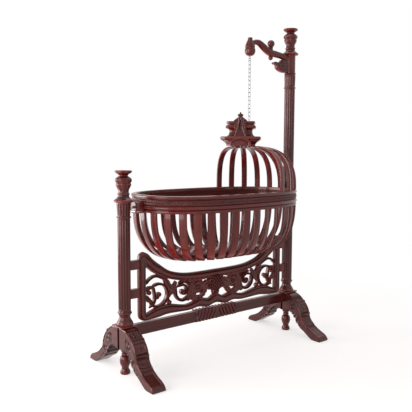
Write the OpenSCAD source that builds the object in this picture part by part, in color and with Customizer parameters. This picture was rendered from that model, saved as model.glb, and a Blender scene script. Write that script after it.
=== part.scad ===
// Swinging cradle on a carved two-post stand.
// Millimetres. Origin on the floor, midway between the posts.
// +X runs to the tall post at the head end, -Y is the front, +Z is up.

/* [Basket] */
// Length of the rim, outside, from end to end
rim_len = 1000; // [960:2:1010]
// Width of the rim, outside, from side to side
rim_w = 580; // [560:2:600]
// Height of the rim's top edge above the floor
rim_top = 889; // [875:1:905]
// Height of the moulded rim band
rim_h = 86; // [80:1:92]
// Thickness of the rim band
rim_t = 28; // [24:1:32]
// Squareness of the rim's plan, where 2 is an ellipse
rim_n = 2.6; // [2.4:0.1:2.9]
// Depth from the rim's lower edge to the underside of the slats
bowl_depth = 258; // [244:1:268]
// Width of a slat at the rim
slat_w = 40; // [35:1:42]
// Width of a slat where it passes under the bottom board
slat_end_w = 29; // [25:1:31]
// Thickness of a slat
slat_t = 12; // [10:0.5:14]
// Length of each slat end under the bottom board
slat_lap = 20; // [16:1:24]
// How far the slats of the two ends draw in
end_reach = 200; // [190:1:210]
// How far the slats of the two sides draw in
side_reach = 158; // [150:1:166]
// Thickness of the bottom board
board_t = 16; // [12:1:20]

/* [Hood] */
// Height of the hood ribs above the rim
dome_h = 246; // [230:1:260]
// Distance from the basket's middle to the hood's vertical axis
dome_x = 168; // [158:1:178]
// Distance from rib to rib along the rim
rib_spacing = 85; // [80:1:88]
// Width of a hood rib
rib_w = 33; // [28:1:36]
// Thickness of a hood rib
rib_t = 12; // [10:0.5:14]
// Width of the square cap that gathers the ribs
cap_w = 222; // [212:1:230]
// Height of the cap
cap_h = 51; // [44:1:58]
// Width of the crown's square neck
neck_w = 136; // [126:1:142]
// Height of the crown above the cap
crown_h = 84; // [76:1:92]
// Width of the crown's cornice
cornice_w = 166; // [158:1:172]
// Height of the carved palmette above the cap
palmette_h = 132; // [120:1:140]

/* [Pivots] */
// Distance from the rim's top edge down to the swing axis
pivot_drop = 59; // [54:1:64]
// Diameter of the steel pivot pins
pin_d = 12; // [10:0.5:14]
// Outer diameter of the brass bushes
bush_d = 18; // [17:0.5:20]
// Length of a brass bush
bush_len = 30; // [24:1:36]
// Width and height of the pivot blocks
pivot_block_w = 58; // [50:1:64]
// Length of the pivot block at the foot end
foot_block_len = 42; // [36:1:48]
// Length of the pivot block at the head end
head_block_len = 17; // [14:1:20]

/* [Stand] */
// Distance from the short post's axis to the rim's end
foot_gap = 98; // [94:1:110]
// Distance from the tall post's axis to the rim's end
head_gap = 58; // [54:1:70]
// Diameter of the fluted posts
post_d = 62; // [58:1:66]
// Number of flutes round a post
flutes = 14; // [10:1:16]
// Height of the hub where the legs meet
hub_h = 250; // [240:1:260]
// Distance from the middle plane to the tip of a leg
leg_reach = 303; // [288:1:320]
// Thickness of a leg
leg_t = 76; // [70:1:82]
// Height of the tall post up to its finial
tall_h = 1672; // [1650:1:1700]
// Height of a finial
finial_h = 158; // [148:1:168]
// Height of the stretcher bar
stretcher_h = 59; // [52:1:66]
// Thickness of the stretcher bar
stretcher_t = 36; // [30:1:42]
// Thickness of the pierced panel's frame
panel_t = 34; // [30:1:38]
// Distance from the short post's axis to the panel's edge
panel_gap = 79; // [74:1:86]
// Distance from the tall post's axis to the panel's edge
panel_head_gap = 73; // [68:1:80]
// Height of the panel's raised corners above its middle
panel_horn = 145; // [130:1:150]
// Clear height between the panel's middle and the basket
panel_clear = 88; // [80:1:100]
// Width of the panel's upright stiles
stile_w = 40; // [36:1:46]

/* [Arm and chain] */
// Distance from the tall post's axis to the hanging chain
arm_reach = 330; // [320:1:344]
// Height of the carved arm, from its lower curl to its crest
arm_h = 170; // [160:1:180]
// Thickness of the carved arm
arm_t = 32; // [26:1:36]
// Height of the pear-shaped drop at the arm's tip
drop_h = 103; // [95:1:110]
// Wire of the chain and the screw eye
wire_d = 2.8; // [2.2:0.1:3]
// Outside width of a chain link
link_w = 16; // [14:0.5:18]
// Distance from one link to the next
link_pitch = 22; // [20:0.5:24]

/* [Hidden] */

wood = "#5a2420";
wood_light = "#7a4038";
steel = "#c9c9cc";
brass = "#b08a3c";
$fn = 48;

// Clearances
press_gap = 0.02;
run_gap = 0.03;
seat_gap = 0.1;
link_gap = 0.3;

// Counts, as many as there are nodes for
slat_pairs = 16;
slat_count = 2 * slat_pairs + 2;
rib_pairs = 5;

// Places that follow from the driving sizes
post_x = (rim_len + foot_gap + head_gap) / 2;
basket_x = (foot_gap - head_gap) / 2;
rim_a = rim_len / 2;
rim_b = rim_w / 2;
rim_low = rim_top - rim_h;
pivot_z = rim_top - pivot_drop;
basket_low = rim_low - bowl_depth;
post_r = post_d / 2;
dome_top = rim_top + dome_h;
cap_top = dome_top + cap_h;

// A value raised to a power with its sign kept, as superellipses need
function signed_pow(v, e) = sign(v) * pow(abs(v), e);
// Catmull-Rom curve through an open list of points, with n steps to each span
function curve_at(a, b, c, d, t) =
    0.5 * (2 * b + (c - a) * t + (2 * a - 5 * b + 4 * c - d) * t * t + (3 * b - a - 3 * c + d) * t * t * t);
function smooth(p, n) = let (m = len(p) - 1) concat(
    [for (i = [0 : m - 1]) for (j = [0 : n - 1])
        curve_at(p[max(i - 1, 0)], p[i], p[i + 1], p[min(i + 2, m)], j / n)],
    [p[m]]);
// Points given as shares of a width and a height, brought to size
function sized(shape, w, h) = [for (p = shape) [p[0] * w, p[1] * h]];
function mirrored(p) = [for (i = [len(p) - 1 : -1 : 0]) [-p[i][0], p[i][1]]];

// ---- the rim's plan -------------------------------------------------------------------------

function rim_base(t) = [rim_a * signed_pow(cos(t), 2 / rim_n), rim_b * signed_pow(sin(t), 2 / rim_n)];
function rim_normal(t) = let (
    p = rim_base(t),
    g = [signed_pow(p[0] / rim_a, rim_n - 1) / rim_a, signed_pow(p[1] / rim_b, rim_n - 1) / rim_b]
) g / norm(g);
function rim_point(t, inset) = rim_base(t) - inset * rim_normal(t);
// Angles at even distances along the rim: each row holds a length from the head end and its angle
rim_table = [for (i = 0, s = 0; i <= 360; s = s + norm(rim_base(i + 1) - rim_base(i)), i = i + 1) [s, i]];
rim_round = rim_table[360][0];
function rim_angle(share) = lookup(share * rim_round, rim_table);

// A moulding swept round the rim: each profile point is [inset from the rim's outside, height]
module rim_sweep(profile, steps) {
    m = len(profile);
    points = [for (i = [0 : steps - 1]) for (p = profile)
        let (q = rim_point(rim_angle(i / steps), p[0])) [q[0], q[1], p[1]]];
    faces = [for (i = [0 : steps - 1]) for (j = [0 : m - 1])
        let (a = i, b = (i + 1) % steps, c = (j + 1) % m) [a * m + j, b * m + j, b * m + c, a * m + c]];
    translate([basket_x, 0, 0]) polyhedron(points, faces, convexity = 6);
}

rim_steps = 96;
frieze_low = 50;
frieze_high = 21;
module rim_band() {
    // From the inner lip over the rounded top, the sunk frieze, two beads and the lower lip
    shape = [[1, 2], [0.8, 0], [0.4, 0], [0.15, 4], [0, 12], [0.12, 17], [0.3, frieze_high],
        [0.3, frieze_low], [0.1, 54], [0.08, 58], [0.26, 62], [0.08, 68], [0.26, 73],
        [0.04, 79], [0, 83], [0.12, rim_h], [1, rim_h]];
    color(wood) rim_sweep([for (p = shape) [p[0] * rim_t, rim_top - p[1]]], rim_steps);
}
module rim_rope() {
    // Half-round carved rope that fills the frieze
    r = (frieze_low - frieze_high) / 2 - 2;
    middle = rim_top - (frieze_low + frieze_high) / 2;
    color(wood_light) rim_sweep(
        [for (a = [-90 : 36 : 90]) [0.3 * rim_t - seat_gap - 0.5 * r * cos(a), middle - r * sin(a)]],
        rim_steps);
}
module bottom_board() {
    // It stops short of where the slats begin to rise
    color(wood) translate([basket_x, 0, basket_low + slat_t + seat_gap]) linear_extrude(board_t)
        polygon([for (t = [0 : 5 : 355]) board_point(t) - 6 * rim_normal(t)]);
}
function board_point(t) = [
    (rim_a - end_reach) * signed_pow(cos(t), 2 / rim_n),
    (rim_b - side_reach) * signed_pow(sin(t), 2 / rim_n)];

// ---- slats ----------------------------------------------------------------------------------

// A quarter of a superellipse bent into a band of thickness t: from [run, 0] to [0, rise]
function band_edge(run, rise, m, off, steps) = [for (i = [0 : steps]) let (
    a = 90 * i / steps,
    p = [run * signed_pow(cos(a), 2 / m), rise * signed_pow(sin(a), 2 / m)],
    g = [signed_pow(p[0] / run, m - 1) / run, signed_pow(p[1] / rise, m - 1) / rise]
) p + off * g / norm(g)];
function band(run, rise, m, t, tail, steps) = concat(
    band_edge(run, rise, m, t / 2, steps), [[-tail, rise + t / 2], [-tail, rise - t / 2]],
    [for (i = [steps : -1 : 0]) band_edge(run, rise, m, -t / 2, steps)[i]]);
// Extrudes an outline drawn in [outward, up] to a width that narrows inwards
module tapered_band(outline, plan, z0, z1) {
    intersection() {
        rotate([90, 0, 0]) linear_extrude(2 * plan[0][1] + 2, center = true) polygon(outline);
        translate([0, 0, z0]) linear_extrude(z1 - z0)
            polygon(concat(plan, [for (i = [len(plan) - 1 : -1 : 0]) [plan[i][0], -plan[i][1]]]));
    }
}

bowl_n = 2.7;
end_ease = 0.5;
slat_steps = 14;
slat_inset = 14;
// The slats stand evenly partly by the rim and partly by the board, so they fan out round the ends
board_share = 0.6;
board_table = [for (i = 0, s = 0; i <= 360; s = s + norm(board_point(i + 1) - board_point(i)), i = i + 1) s];
slat_table = [for (i = [0 : 360])
    [(1 - board_share) * rim_table[i][0] / rim_round + board_share * board_table[i] / board_table[360], i]];
function slat_angle(k) = lookup(k / slat_count, slat_table);
module slat(k) {
    t = slat_angle(k);
    top = rim_point(t, slat_inset);
    foot = board_point(t);
    run = norm(top - foot);
    drop = bowl_depth - slat_t / 2;
    // The ends are less full than the sides, and so clear the panel's horns
    m = bowl_n - end_ease * pow(abs(cos(t)), 3);
    plan = [[run + slat_t, slat_w / 2], [0.35 * run, slat_w / 2], [-slat_lap - 1, slat_end_w / 2]];
    translate([basket_x + foot[0], foot[1], rim_low])
        rotate([0, 0, atan2(top[1] - foot[1], top[0] - foot[0])])
        mirror([0, 0, 1]) tapered_band(band(run, drop, m, slat_t, slat_lap, slat_steps), plan,
            -1, bowl_depth + 1);
}
module slat_pair(k) {
    color(wood) {
        slat(k);
        mirror([0, 1, 0]) slat(k);
    }
}
module slats_at_ends() {
    color(wood) {
        slat(0);
        slat(slat_count / 2);
    }
}

// ---- hood -----------------------------------------------------------------------------------

rib_steps = 14;
rib_inner = 48;
rib_inset = 11;
function rib_base(k) = rim_point(rim_angle(k * rib_spacing / rim_round), rib_inset) - [dome_x, 0];
function rib_turn(k) = atan2(rib_base(k)[1], rib_base(k)[0]);
half_step = min([for (k = [1 : rib_pairs]) (rib_turn(k) - rib_turn(k - 1)) / 2]);
module hood_rib(k) {
    base = rib_base(k);
    run = norm(base) - rib_inner;
    rise = dome_h - rib_t / 2;
    // The ribs at the sides stand straighter than the middle one
    m = 2.45 + 0.15 * k;
    meet = rib_w / 2 / tan(half_step);
    near = rib_inner * tan(half_step) - 0.3;
    plan = [[run + rib_t, rib_w / 2], [meet - rib_inner, rib_w / 2 - 0.3], [-1, near]];
    translate([basket_x + dome_x, 0, rim_top]) rotate([0, 0, rib_turn(k)])
        translate([rib_inner, 0, 0])
        tapered_band(band(run, rise, m, rib_t, 0.5, rib_steps), plan, 0, dome_h + 1);
}
module hood_rib_pair(k) {
    color(wood) {
        hood_rib(k);
        mirror([0, 1, 0]) hood_rib(k);
    }
}
module hood_rib_middle() {
    color(wood) hood_rib(0);
}

// The crown is a square with cut corners, turned so that one face looks towards the foot and front
crown_turn = -45;
module on_dome(z) {
    translate([basket_x + dome_x, 0, z]) rotate([0, 0, crown_turn]) children();
}
module cut_square(w, cut) {
    polygon([for (q = [0 : 3]) for (p = [[w / 2, cut - w / 2], [w / 2, w / 2 - cut]])
        [p[0] * cos(90 * q) - p[1] * sin(90 * q), p[0] * sin(90 * q) + p[1] * cos(90 * q)]]);
}
// A square block with mouldings: each profile point is [width, height]
module moulded_block(profile, cut) {
    for (i = [0 : len(profile) - 2]) if (profile[i + 1][1] > profile[i][1])
        translate([0, 0, profile[i][1]])
            linear_extrude(profile[i + 1][1] - profile[i][1], scale = profile[i + 1][0] / profile[i][0])
            cut_square(profile[i][0], cut);
}
cap_foot_w = 0.72 * cap_w;
apron_w = 0.52 * cap_w;
// An arched apron hangs over the cap's cup, on the face towards the foot and on the one behind
module apron() {
    high = 0.86 * cap_h;
    deep = 0.2 * cap_w;
    translate([0, deep - cap_w / 2 - 1, 0]) rotate([90, 0, 0]) linear_extrude(deep) polygon(concat(
        [[-apron_w / 2, 0]], [for (a = [180 : -15 : 0]) [apron_w / 2 * cos(a), (0.3 + 0.7 * sin(a)) * high]],
        [[apron_w / 2, 0]]));
}
module hood_cap() {
    cup_h = 0.56 * cap_h;
    color(wood) on_dome(dome_top) {
        moulded_block([[cap_foot_w, 0], [cap_foot_w, 0.3 * cup_h], [cap_foot_w + 12, 0.6 * cup_h],
            [cap_w - 26, cup_h]], 0.24 * cap_foot_w);
        moulded_block([[cap_w - 16, cup_h], [cap_w - 4, cup_h + 0.14 * cap_h], [cap_w, cup_h + 0.22 * cap_h],
            [cap_w, cup_h + 0.36 * cap_h], [cap_w - 6, cap_h]], 0.17 * cap_foot_w);
        for (turn = [0, 180]) rotate([0, 0, turn]) apron();
    }
}
module crown() {
    color(wood) on_dome(cap_top) moulded_block([[neck_w + 14, 0], [neck_w + 10, 0.06 * crown_h],
        [neck_w, 0.14 * crown_h], [neck_w - 10, 0.3 * crown_h], [neck_w - 8, 0.44 * crown_h],
        [neck_w + 4, 0.52 * crown_h], [cornice_w - 4, 0.56 * crown_h], [cornice_w, 0.63 * crown_h],
        [cornice_w - 4, 0.72 * crown_h], [cornice_w - 20, 0.78 * crown_h], [cornice_w - 20, 0.83 * crown_h],
        [cornice_w - 10, 0.86 * crown_h], [cornice_w - 10, crown_h]], 0.1 * neck_w);
}
palmette_t = 14;
palmette_w = 76;
module palmette() {
    // Half outline from the tip down, as shares of the half width and the height
    half = [[0, 1], [0.1, 0.98], [0.16, 0.93], [0.36, 0.91], [0.42, 0.86], [0.3, 0.82], [0.42, 0.78],
        [0.66, 0.73], [0.96, 0.66], [1, 0.6], [0.86, 0.55], [0.9, 0.4], [0.8, 0.26], [0.72, 0.14], [0.9, 0.05], [0.84, 0]];
    right = smooth(sized(half, palmette_w / 2, palmette_h), 3);
    // The sunk almond in its middle
    almond = [[0, 0.7], [0.2, 0.52], [0.22, 0.38], [0, 0.22]];
    eye = smooth(sized(almond, palmette_w / 2, palmette_h), 4);
    color(wood_light) on_dome(cap_top)
        translate([0, -cornice_w / 2 - seat_gap, 0]) rotate([90, 0, 0]) difference() {
            linear_extrude(palmette_t) polygon(concat(mirrored(right), right));
            translate([0, 0, 0.45 * palmette_t]) linear_extrude(palmette_t)
                polygon(concat(mirrored(eye), [for (i = [1 : len(eye) - 2]) eye[i]]));
        }
}

// ---- pivots ---------------------------------------------------------------------------------

pin_end_gap = 2;
bush_sink = 2;
block_grip = 0.8;
plate_t = 3;
plate_drop = 19;
// Each end is drawn at x = 0 with its post on the +X side, then put in place
module at_end(end) {
    if (end == "foot") translate([basket_x - rim_a, 0, pivot_z]) mirror([1, 0, 0]) children();
    else translate([basket_x + rim_a, 0, pivot_z]) children();
}
function gap_at(end) = end == "foot" ? foot_gap : head_gap;
function block_len(end) = end == "foot" ? foot_block_len : head_block_len;
module pivot_block(end) {
    len = block_len(end);
    w = pivot_block_w;
    top = w / 2 - 1;
    color(wood) at_end(end) difference() {
        translate([seat_gap, 0, 0]) rotate([90, 0, 90]) linear_extrude(len - seat_gap)
            polygon([[-w / 2, -w / 2 + 3], [-w / 2 + 3, -w / 2], [w / 2 - 3, -w / 2], [w / 2, -w / 2 + 3],
                [w / 2, top - 14], [w / 2 - 5, top - 4], [w / 2 - 14, top], [14 - w / 2, top],
                [5 - w / 2, top - 4], [-w / 2, top - 14]]);
        rotate([0, 90, 0]) translate([0, 0, len * (1 - block_grip)])
            cylinder(d = pin_d + 2 * press_gap, h = len);
        translate([4, -w, -plate_drop - plate_t - press_gap]) cube([len, 2 * w, plate_t + 2 * press_gap]);
    }
}
module pivot_pins() {
    color(steel) for (end = ["foot", "head"]) {
        start = block_len(end) * (1 - block_grip) + press_gap;
        stop = gap_at(end) - post_r + bush_sink + bush_len - 1;
        at_end(end) rotate([0, 90, 0]) translate([0, 0, start]) cylinder(d = pin_d, h = stop - start);
    }
}
module pivot_plates() {
    color(steel) for (end = ["foot", "head"]) at_end(end)
        translate([4 + press_gap, -pivot_block_w / 2 - 2, -plate_drop - plate_t])
        cube([block_len(end) - 2, pivot_block_w + 4, plate_t]);
}
module pivot_bushes() {
    color(brass) for (end = ["foot", "head"]) at_end(end)
        translate([gap_at(end) - post_r + bush_sink, 0, 0]) rotate([0, 90, 0]) difference() {
            cylinder(d = bush_d, h = bush_len);
            translate([0, 0, -1]) cylinder(d = pin_d + 2 * run_gap, h = bush_len + 2);
        }
}
// The blind bore in a post that takes its bush and the end of the pin
module bush_bore(end) {
    at_end(end) translate([gap_at(end) - post_r - 12, 0, 0]) rotate([0, 90, 0])
        cylinder(d = bush_d + 2 * press_gap, h = 12 + bush_sink + bush_len + pin_end_gap);
}

// ---- posts ----------------------------------------------------------------------------------

module at_post(end) {
    translate([end == "foot" ? -post_x : post_x, 0, 0]) children();
}
base_h = 72;
cap_ring = 4;
capital_h = 71;
// Turned base: bell, waist and ring, as shares of the post's radius and the base's height
base_shape = [[0, 0], [1.33, 0], [1.35, 0.1], [1.3, 0.2], [1.08, 0.36], [0.9, 0.5], [0.86, 0.6], [0.95, 0.74],
    [1.02, 0.8], [1.14, 0.86], [1.14, 0.94], [1, 1]];
module fluted(z0, z1, r) {
    groove = 0.75 * PI * post_r / flutes;
    for (i = [0 : flutes - 1]) rotate([0, 0, 360 * (i + 0.5) / flutes])
        translate([r + 0.45 * groove, 0, z0 + groove]) {
            cylinder(r = groove, h = z1 - z0 - 2 * groove, $fn = 24);
            sphere(r = groove, $fn = 24);
            translate([0, 0, z1 - z0 - 2 * groove]) sphere(r = groove, $fn = 24);
        }
}
// A post from the hub up: turned base, fluted shaft, ring and flared capital, then its own top
module fluted_post(capital_z, top_shape) {
    rotate_extrude() polygon(concat(
        [for (p = base_shape) [p[0] * post_r, hub_h + p[1] * base_h]],
        [[post_r, capital_z - cap_ring], [1.17 * post_r, capital_z - cap_ring / 2],
            [1.17 * post_r, capital_z + cap_ring / 2], [post_r, capital_z + cap_ring]],
        top_shape));
}
short_capital_z = pivot_z - 45;
module short_post() {
    top = short_capital_z + capital_h;
    color(wood) difference() {
        at_post("foot") difference() {
            fluted_post(short_capital_z, [[1.12 * post_r, top], [0, top]]);
            fluted(hub_h + base_h + 4, short_capital_z - cap_ring - 2, post_r);
            fluted(short_capital_z + cap_ring + 2, top - 3, 1.07 * post_r);
        }
        bush_bore("foot");
    }
}
tall_plain_h = 105;
tall_capital_z = tall_h - tall_plain_h - 84;
module tall_post() {
    ring = tall_h - tall_plain_h;
    color(wood) difference() {
        at_post("head") difference() {
            fluted_post(tall_capital_z, [[1.06 * post_r, ring - 4], [1.15 * post_r, ring - 2],
                [1.15 * post_r, ring + 2], [post_r, ring + 4], [post_r, tall_h], [0, tall_h]]);
            fluted(hub_h + base_h + 4, tall_capital_z - cap_ring - 2, post_r);
            fluted(tall_capital_z + cap_ring + 2, ring - 8, 1.04 * post_r);
        }
        bush_bore("head");
    }
}
finial_d = 97;
// Turned finial: flange, waist, double-lobed bulb, neck and flared dished top
finial_shape = [[0, 0], [0.72, 0], [0.93, 0.02], [1, 0.06], [0.96, 0.1], [0.74, 0.14], [0.6, 0.19], [0.56, 0.24],
    [0.56, 0.34], [0.6, 0.37], [0.56, 0.4], [0.53, 0.44], [0.62, 0.49], [0.74, 0.53], [0.77, 0.57], [0.72, 0.6],
    [0.8, 0.64], [0.85, 0.69], [0.8, 0.74], [0.62, 0.79], [0.47, 0.82], [0.48, 0.85], [0.7, 0.89], [0.85, 0.93],
    [0.86, 0.96], [0.74, 0.99], [0.6, 1], [0.3, 0.97], [0, 0.96]];
module finial() {
    rotate_extrude() polygon(sized(finial_shape, finial_d / 2, finial_h));
}
module finial_short_post() {
    color(wood) at_post("foot") translate([0, 0, short_capital_z + capital_h]) finial();
}
module finial_tall_post() {
    color(wood) at_post("head") translate([0, 0, tall_h]) finial();
}

// ---- hubs, legs and turned feet -------------------------------------------------------------

hub_low = 130;
hub_half = 8;
hub_cap_t = 8;
hub_cap_w = 94;
module hubs() {
    core_x = leg_t - 14;
    color(wood) for (end = ["foot", "head"]) at_post(end) {
        translate([-core_x / 2, -hub_half, hub_low]) cube([core_x, 2 * hub_half, hub_h - hub_low - hub_cap_t]);
        translate([-hub_cap_w / 2, -hub_cap_w / 2, hub_h - hub_cap_t])
            cube([hub_cap_w, hub_cap_w, hub_cap_t]);
    }
}
// Turned foot under the hub: disc, bulb, ring and top disc
foot_d = 66;
foot_shape = [[0, 0], [0.7, 0], [0.76, 0.03], [0.76, 0.1], [0.72, 0.15], [0.62, 0.19], [0.54, 0.24], [0.58, 0.3],
    [0.7, 0.35], [0.8, 0.43], [0.83, 0.52], [0.79, 0.61], [0.66, 0.69], [0.48, 0.72], [0.46, 0.75], [0.54, 0.77],
    [0.54, 0.81], [0.47, 0.83], [0.46, 0.86], [0.62, 0.89], [0.68, 0.93], [0.68, 1], [0, 1]];
module turned_feet() {
    color(wood_light) for (end = ["foot", "head"]) at_post(end)
        rotate_extrude() polygon(sized(foot_shape, foot_d / 2, hub_low));
}
// Leg outline as shares of the leg's reach and the hub's height: the back, then the underside
leg_back = [[0.12, 1], [0.25, 0.955], [0.4, 0.82], [0.495, 0.67], [0.53, 0.545], [0.55, 0.45], [0.59, 0.38],
    [0.64, 0.325], [0.7, 0.265], [0.79, 0.205], [0.88, 0.16], [0.945, 0.118], [0.985, 0.065]];
leg_toe = [[1, 0.025], [0.985, 0], [0.8, 0]];
leg_under = [[0.74, 0.03], [0.66, 0.09], [0.61, 0.13], [0.55, 0.17], [0.5, 0.2], [0.44, 0.26], [0.37, 0.36],
    [0.31, 0.46], [0.25, 0.53], [0.19, 0.56]];
module leg_side() {
    top = hub_h - hub_cap_t;
    polygon(concat([[hub_half, top]], smooth(sized(leg_back, leg_reach, top), 3),
        sized(leg_toe, leg_reach, top), smooth(sized(leg_under, leg_reach, top), 3),
        [[hub_half, hub_low + seat_gap]]));
}
module leg(end, side) {
    sink = 5;
    top = hub_h - hub_cap_t;
    color(wood) at_post(end) mirror([0, side, 0]) difference() {
        rotate([90, 0, 90]) linear_extrude(leg_t, center = true) leg_side();
        // Carved eyes on both faces, scallops under the knee and the sunk fields on the back
        for (x = [-1, 1]) for (p = [[0.3, 0.72, 11], [0.24, 0.79, 8], [0.37, 0.63, 8], [0.52, 0.34, 9],
            [0.9, 0.075, 7]])
            translate([x * leg_t / 2, p[0] * leg_reach, p[1] * top]) rotate([0, 90, 0])
                cylinder(r = p[2], h = 2 * sink, center = true);
        for (p = [[0.55, 0.13], [0.46, 0.2], [0.37, 0.31], [0.27, 0.45]])
            translate([0, p[0] * leg_reach, p[1] * top]) rotate([0, 90, 0])
                cylinder(r = 11, h = leg_t + 2, center = true);
    }
}

// ---- stretcher ------------------------------------------------------------------------------

stretcher_top = hub_h - hub_cap_t;
module stretcher() {
    half = post_x - leg_t / 2 - seat_gap;
    edge = 4;
    low = stretcher_top - stretcher_h;
    carved = 0.26 * half;
    color(wood) {
        rotate([90, 0, 90]) linear_extrude(2 * half, center = true)
            polygon([for (c = [[1, 0, 1], [1, 1, 0], [-1, 1, 0], [-1, 0, 1], [-1, 0, -1], [-1, -1, 0], [1, -1, 0],
                [1, 0, -1]]) [c[0] * (stretcher_t / 2 - edge * abs(c[1])),
                low + stretcher_h / 2 + (c[1] == 0 ? c[2] * (stretcher_h / 2 - edge) : c[1] * stretcher_h / 2)]]);
        // The carved middle stands proud as a row of gadroons
        for (i = [-7 : 7]) translate([i * carved / 7.5, 0, low + 3])
            cylinder(r = stretcher_t / 2 + 6, h = stretcher_h - 6);
    }
}

// ---- pierced panel --------------------------------------------------------------------------

panel_half = post_x - (panel_gap + panel_head_gap) / 2;
panel_x = (panel_gap - panel_head_gap) / 2;
panel_low = hub_h;
panel_mid = basket_low - panel_clear;
panel_high = panel_mid + panel_horn;
inner_half = panel_half - stile_w;
carve_h = panel_mid - panel_low;
rail_steps = 4;
// Each edge of the rails from the middle outwards: share of the half width, and height
function horn(list) = [for (p = list) [p[0] * panel_half, panel_mid + p[1] * panel_horn]];
top_upper = horn([[0, 0], [0.2, 0], [0.38, 0.02], [0.51, 0.09], [0.64, 0.235], [0.763, 0.52], [0.84, 0.73],
    [0.885, 0.9]]);
top_lower = horn([[0, -0.3], [0.24, -0.29], [0.47, -0.22], [0.64, -0.08], [0.763, 0.1], [0.84, 0.25]]);
function foot_line(list) = [for (p = list) [p[0] * panel_half, panel_low + p[1] * 0.34 * carve_h]];
low_upper = foot_line([[0, 1.05], [0.09, 0.74], [0.16, 0.8], [0.23, 0.92], [0.3, 0.72], [0.4, 0.58], [0.5, 0.68],
    [0.62, 0.86], [0.75, 0.86], [0.84, 0.66], [0.92, 0.42]]);
low_lower = foot_line([[0, 0.26], [0.13, 0.06], [0.25, 0.2], [0.38, 0.1], [0.64, 0.15], [0.77, 0.04], [0.87, 0]]);
function whole(edge) = let (r = smooth(edge, rail_steps)) concat(mirrored(r), [for (i = [1 : len(r) - 1]) r[i]]);
function inset_edge(a, b, share) = [for (i = [0 : len(a) - 1]) a[i] * (1 - share) + b[i] * share];
function closed(a, b) = concat(a, [for (i = [len(b) - 1 : -1 : 0]) b[i]]);
// Same count of points on both edges, so that the rail can be laid out between them
function level(edge, xs) = [for (x = xs) [x, lookup(x, edge)]];
rail_xs = [for (i = [-30 : 30]) i / 30 * inner_half];
function end_level(edge, x, z) = concat(edge, [[x, z]]);
top_hi = level(whole(end_level(top_upper, inner_half, panel_mid + 0.97 * panel_horn)), rail_xs);
top_lo = level(whole(end_level(top_lower, inner_half, panel_mid + 0.48 * panel_horn)), rail_xs);
low_hi = level(whole(low_upper), rail_xs);
low_lo = level(whole(low_lower), rail_xs);
// A rail is a bar with a raised round moulding along its middle, on both faces
module panel_bar(a, b) {
    rotate([90, 0, 0]) linear_extrude(panel_t - 8, center = true) polygon(closed(a, b));
    rotate([90, 0, 0]) linear_extrude(panel_t, center = true)
        polygon(closed(inset_edge(a, b, 0.16), inset_edge(b, a, 0.16)));
}
module panel_top_rail() {
    color(wood) translate([panel_x, 0, 0]) panel_bar(top_hi, top_lo);
}
module panel_bottom_rail() {
    color(wood) translate([panel_x, 0, 0]) panel_bar(low_hi, low_lo);
}
stile_round = 30;
function stile_outline(inset) = let (r = stile_round - inset, x0 = inner_half + inset, x1 = panel_half - inset)
    concat([[x0, panel_high - inset - 4]],
        [for (a = [90 : -15 : 0]) [x1 - r + r * cos(a), panel_high - inset - r + r * sin(a)]],
        [for (a = [0 : -15 : -90]) [x1 - r + r * cos(a), panel_low + inset + r + r * sin(a)]],
        [[x0, panel_low + inset]]);
module panel_stile(end) {
    color(wood) translate([panel_x, 0, 0]) mirror([end == "foot" ? 1 : 0, 0, 0]) translate([seat_gap, 0, 0]) {
        rotate([90, 0, 0]) linear_extrude(panel_t - 8, center = true) polygon(stile_outline(0));
        rotate([90, 0, 0]) linear_extrude(panel_t, center = true) polygon(stile_outline(0.16 * stile_w));
    }
}
// Square blocks that hold the panel to the posts, hollowed to the post at one end
block_zs = [0.42, 0.83];
module panel_blocks() {
    size = 46;
    color(wood) for (side = [-1, 1]) for (share = block_zs) difference() {
        z = panel_low + share * (panel_high - panel_low);
        gap = side < 0 ? panel_gap : panel_head_gap;
        translate([side * (post_x - gap / 2 + seat_gap), 0, z])
            cube([gap - 2 * seat_gap, panel_t - 6, size], center = true);
        translate([side * post_x, 0, z]) cylinder(r = post_r + seat_gap, h = size + 2, center = true);
        translate([side * (post_x + post_r / 2), 0, z]) cube([post_r, post_d, size + 2], center = true);
    }
}

// A scroll: a band that winds inwards and thins, over the angles a0 to a1, drawn in stretches of less than
// a turn. Its reach r0 at the start and r1 at the end are each [sideways, upwards]
module scroll(c, r0, r1, a0, a1, w0, w1, ease) {
    steps = ceil(abs(a1 - a0) / 15);
    stretches = ceil(steps / 14);
    function edge(k, side) = let (
        s = k / steps, a = a0 + (a1 - a0) * s, r = r0 + (r1 - r0) * pow(s, ease), w = w0 + (w1 - w0) * s
    ) c + [(r[0] + side * w / 2) * cos(a), (r[1] + side * w / 2) * sin(a)];
    for (h = [0 : stretches - 1]) {
        from = floor(steps * h / stretches);
        to = min(steps, floor(steps * (h + 1) / stretches) + 1);
        polygon(concat([for (k = [from : to]) edge(k, 1)], [for (k = [to : -1 : from]) edge(k, -1)]));
    }
}
// A carved stem along a few points, from width w0 to w1
function stem(points, w0, w1) = let (
    p = smooth(points, 4), m = len(p) - 1,
    side = [for (i = [0 : m]) let (d = p[min(i + 1, m)] - p[max(i - 1, 0)])
        [-d[1], d[0]] / norm(d) * (w0 + (w1 - w0) * i / m) / 2]
) concat([for (i = [0 : m]) p[i] + side[i]], [for (i = [m : -1 : 0]) p[i] - side[i]]);
module leaf(p, q, w) {
    d = q - p;
    n = [-d[1], d[0]] / norm(d) * w;
    polygon(concat(smooth([p, p + 0.3 * d + n, p + 0.7 * d + 0.8 * n, q], 3),
        smooth([q, p + 0.7 * d - 0.8 * n, p + 0.3 * d - n, p], 3)));
}
scroll_t = 16;
module panel_opening() {
    polygon(closed(low_hi, top_lo));
}
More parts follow.
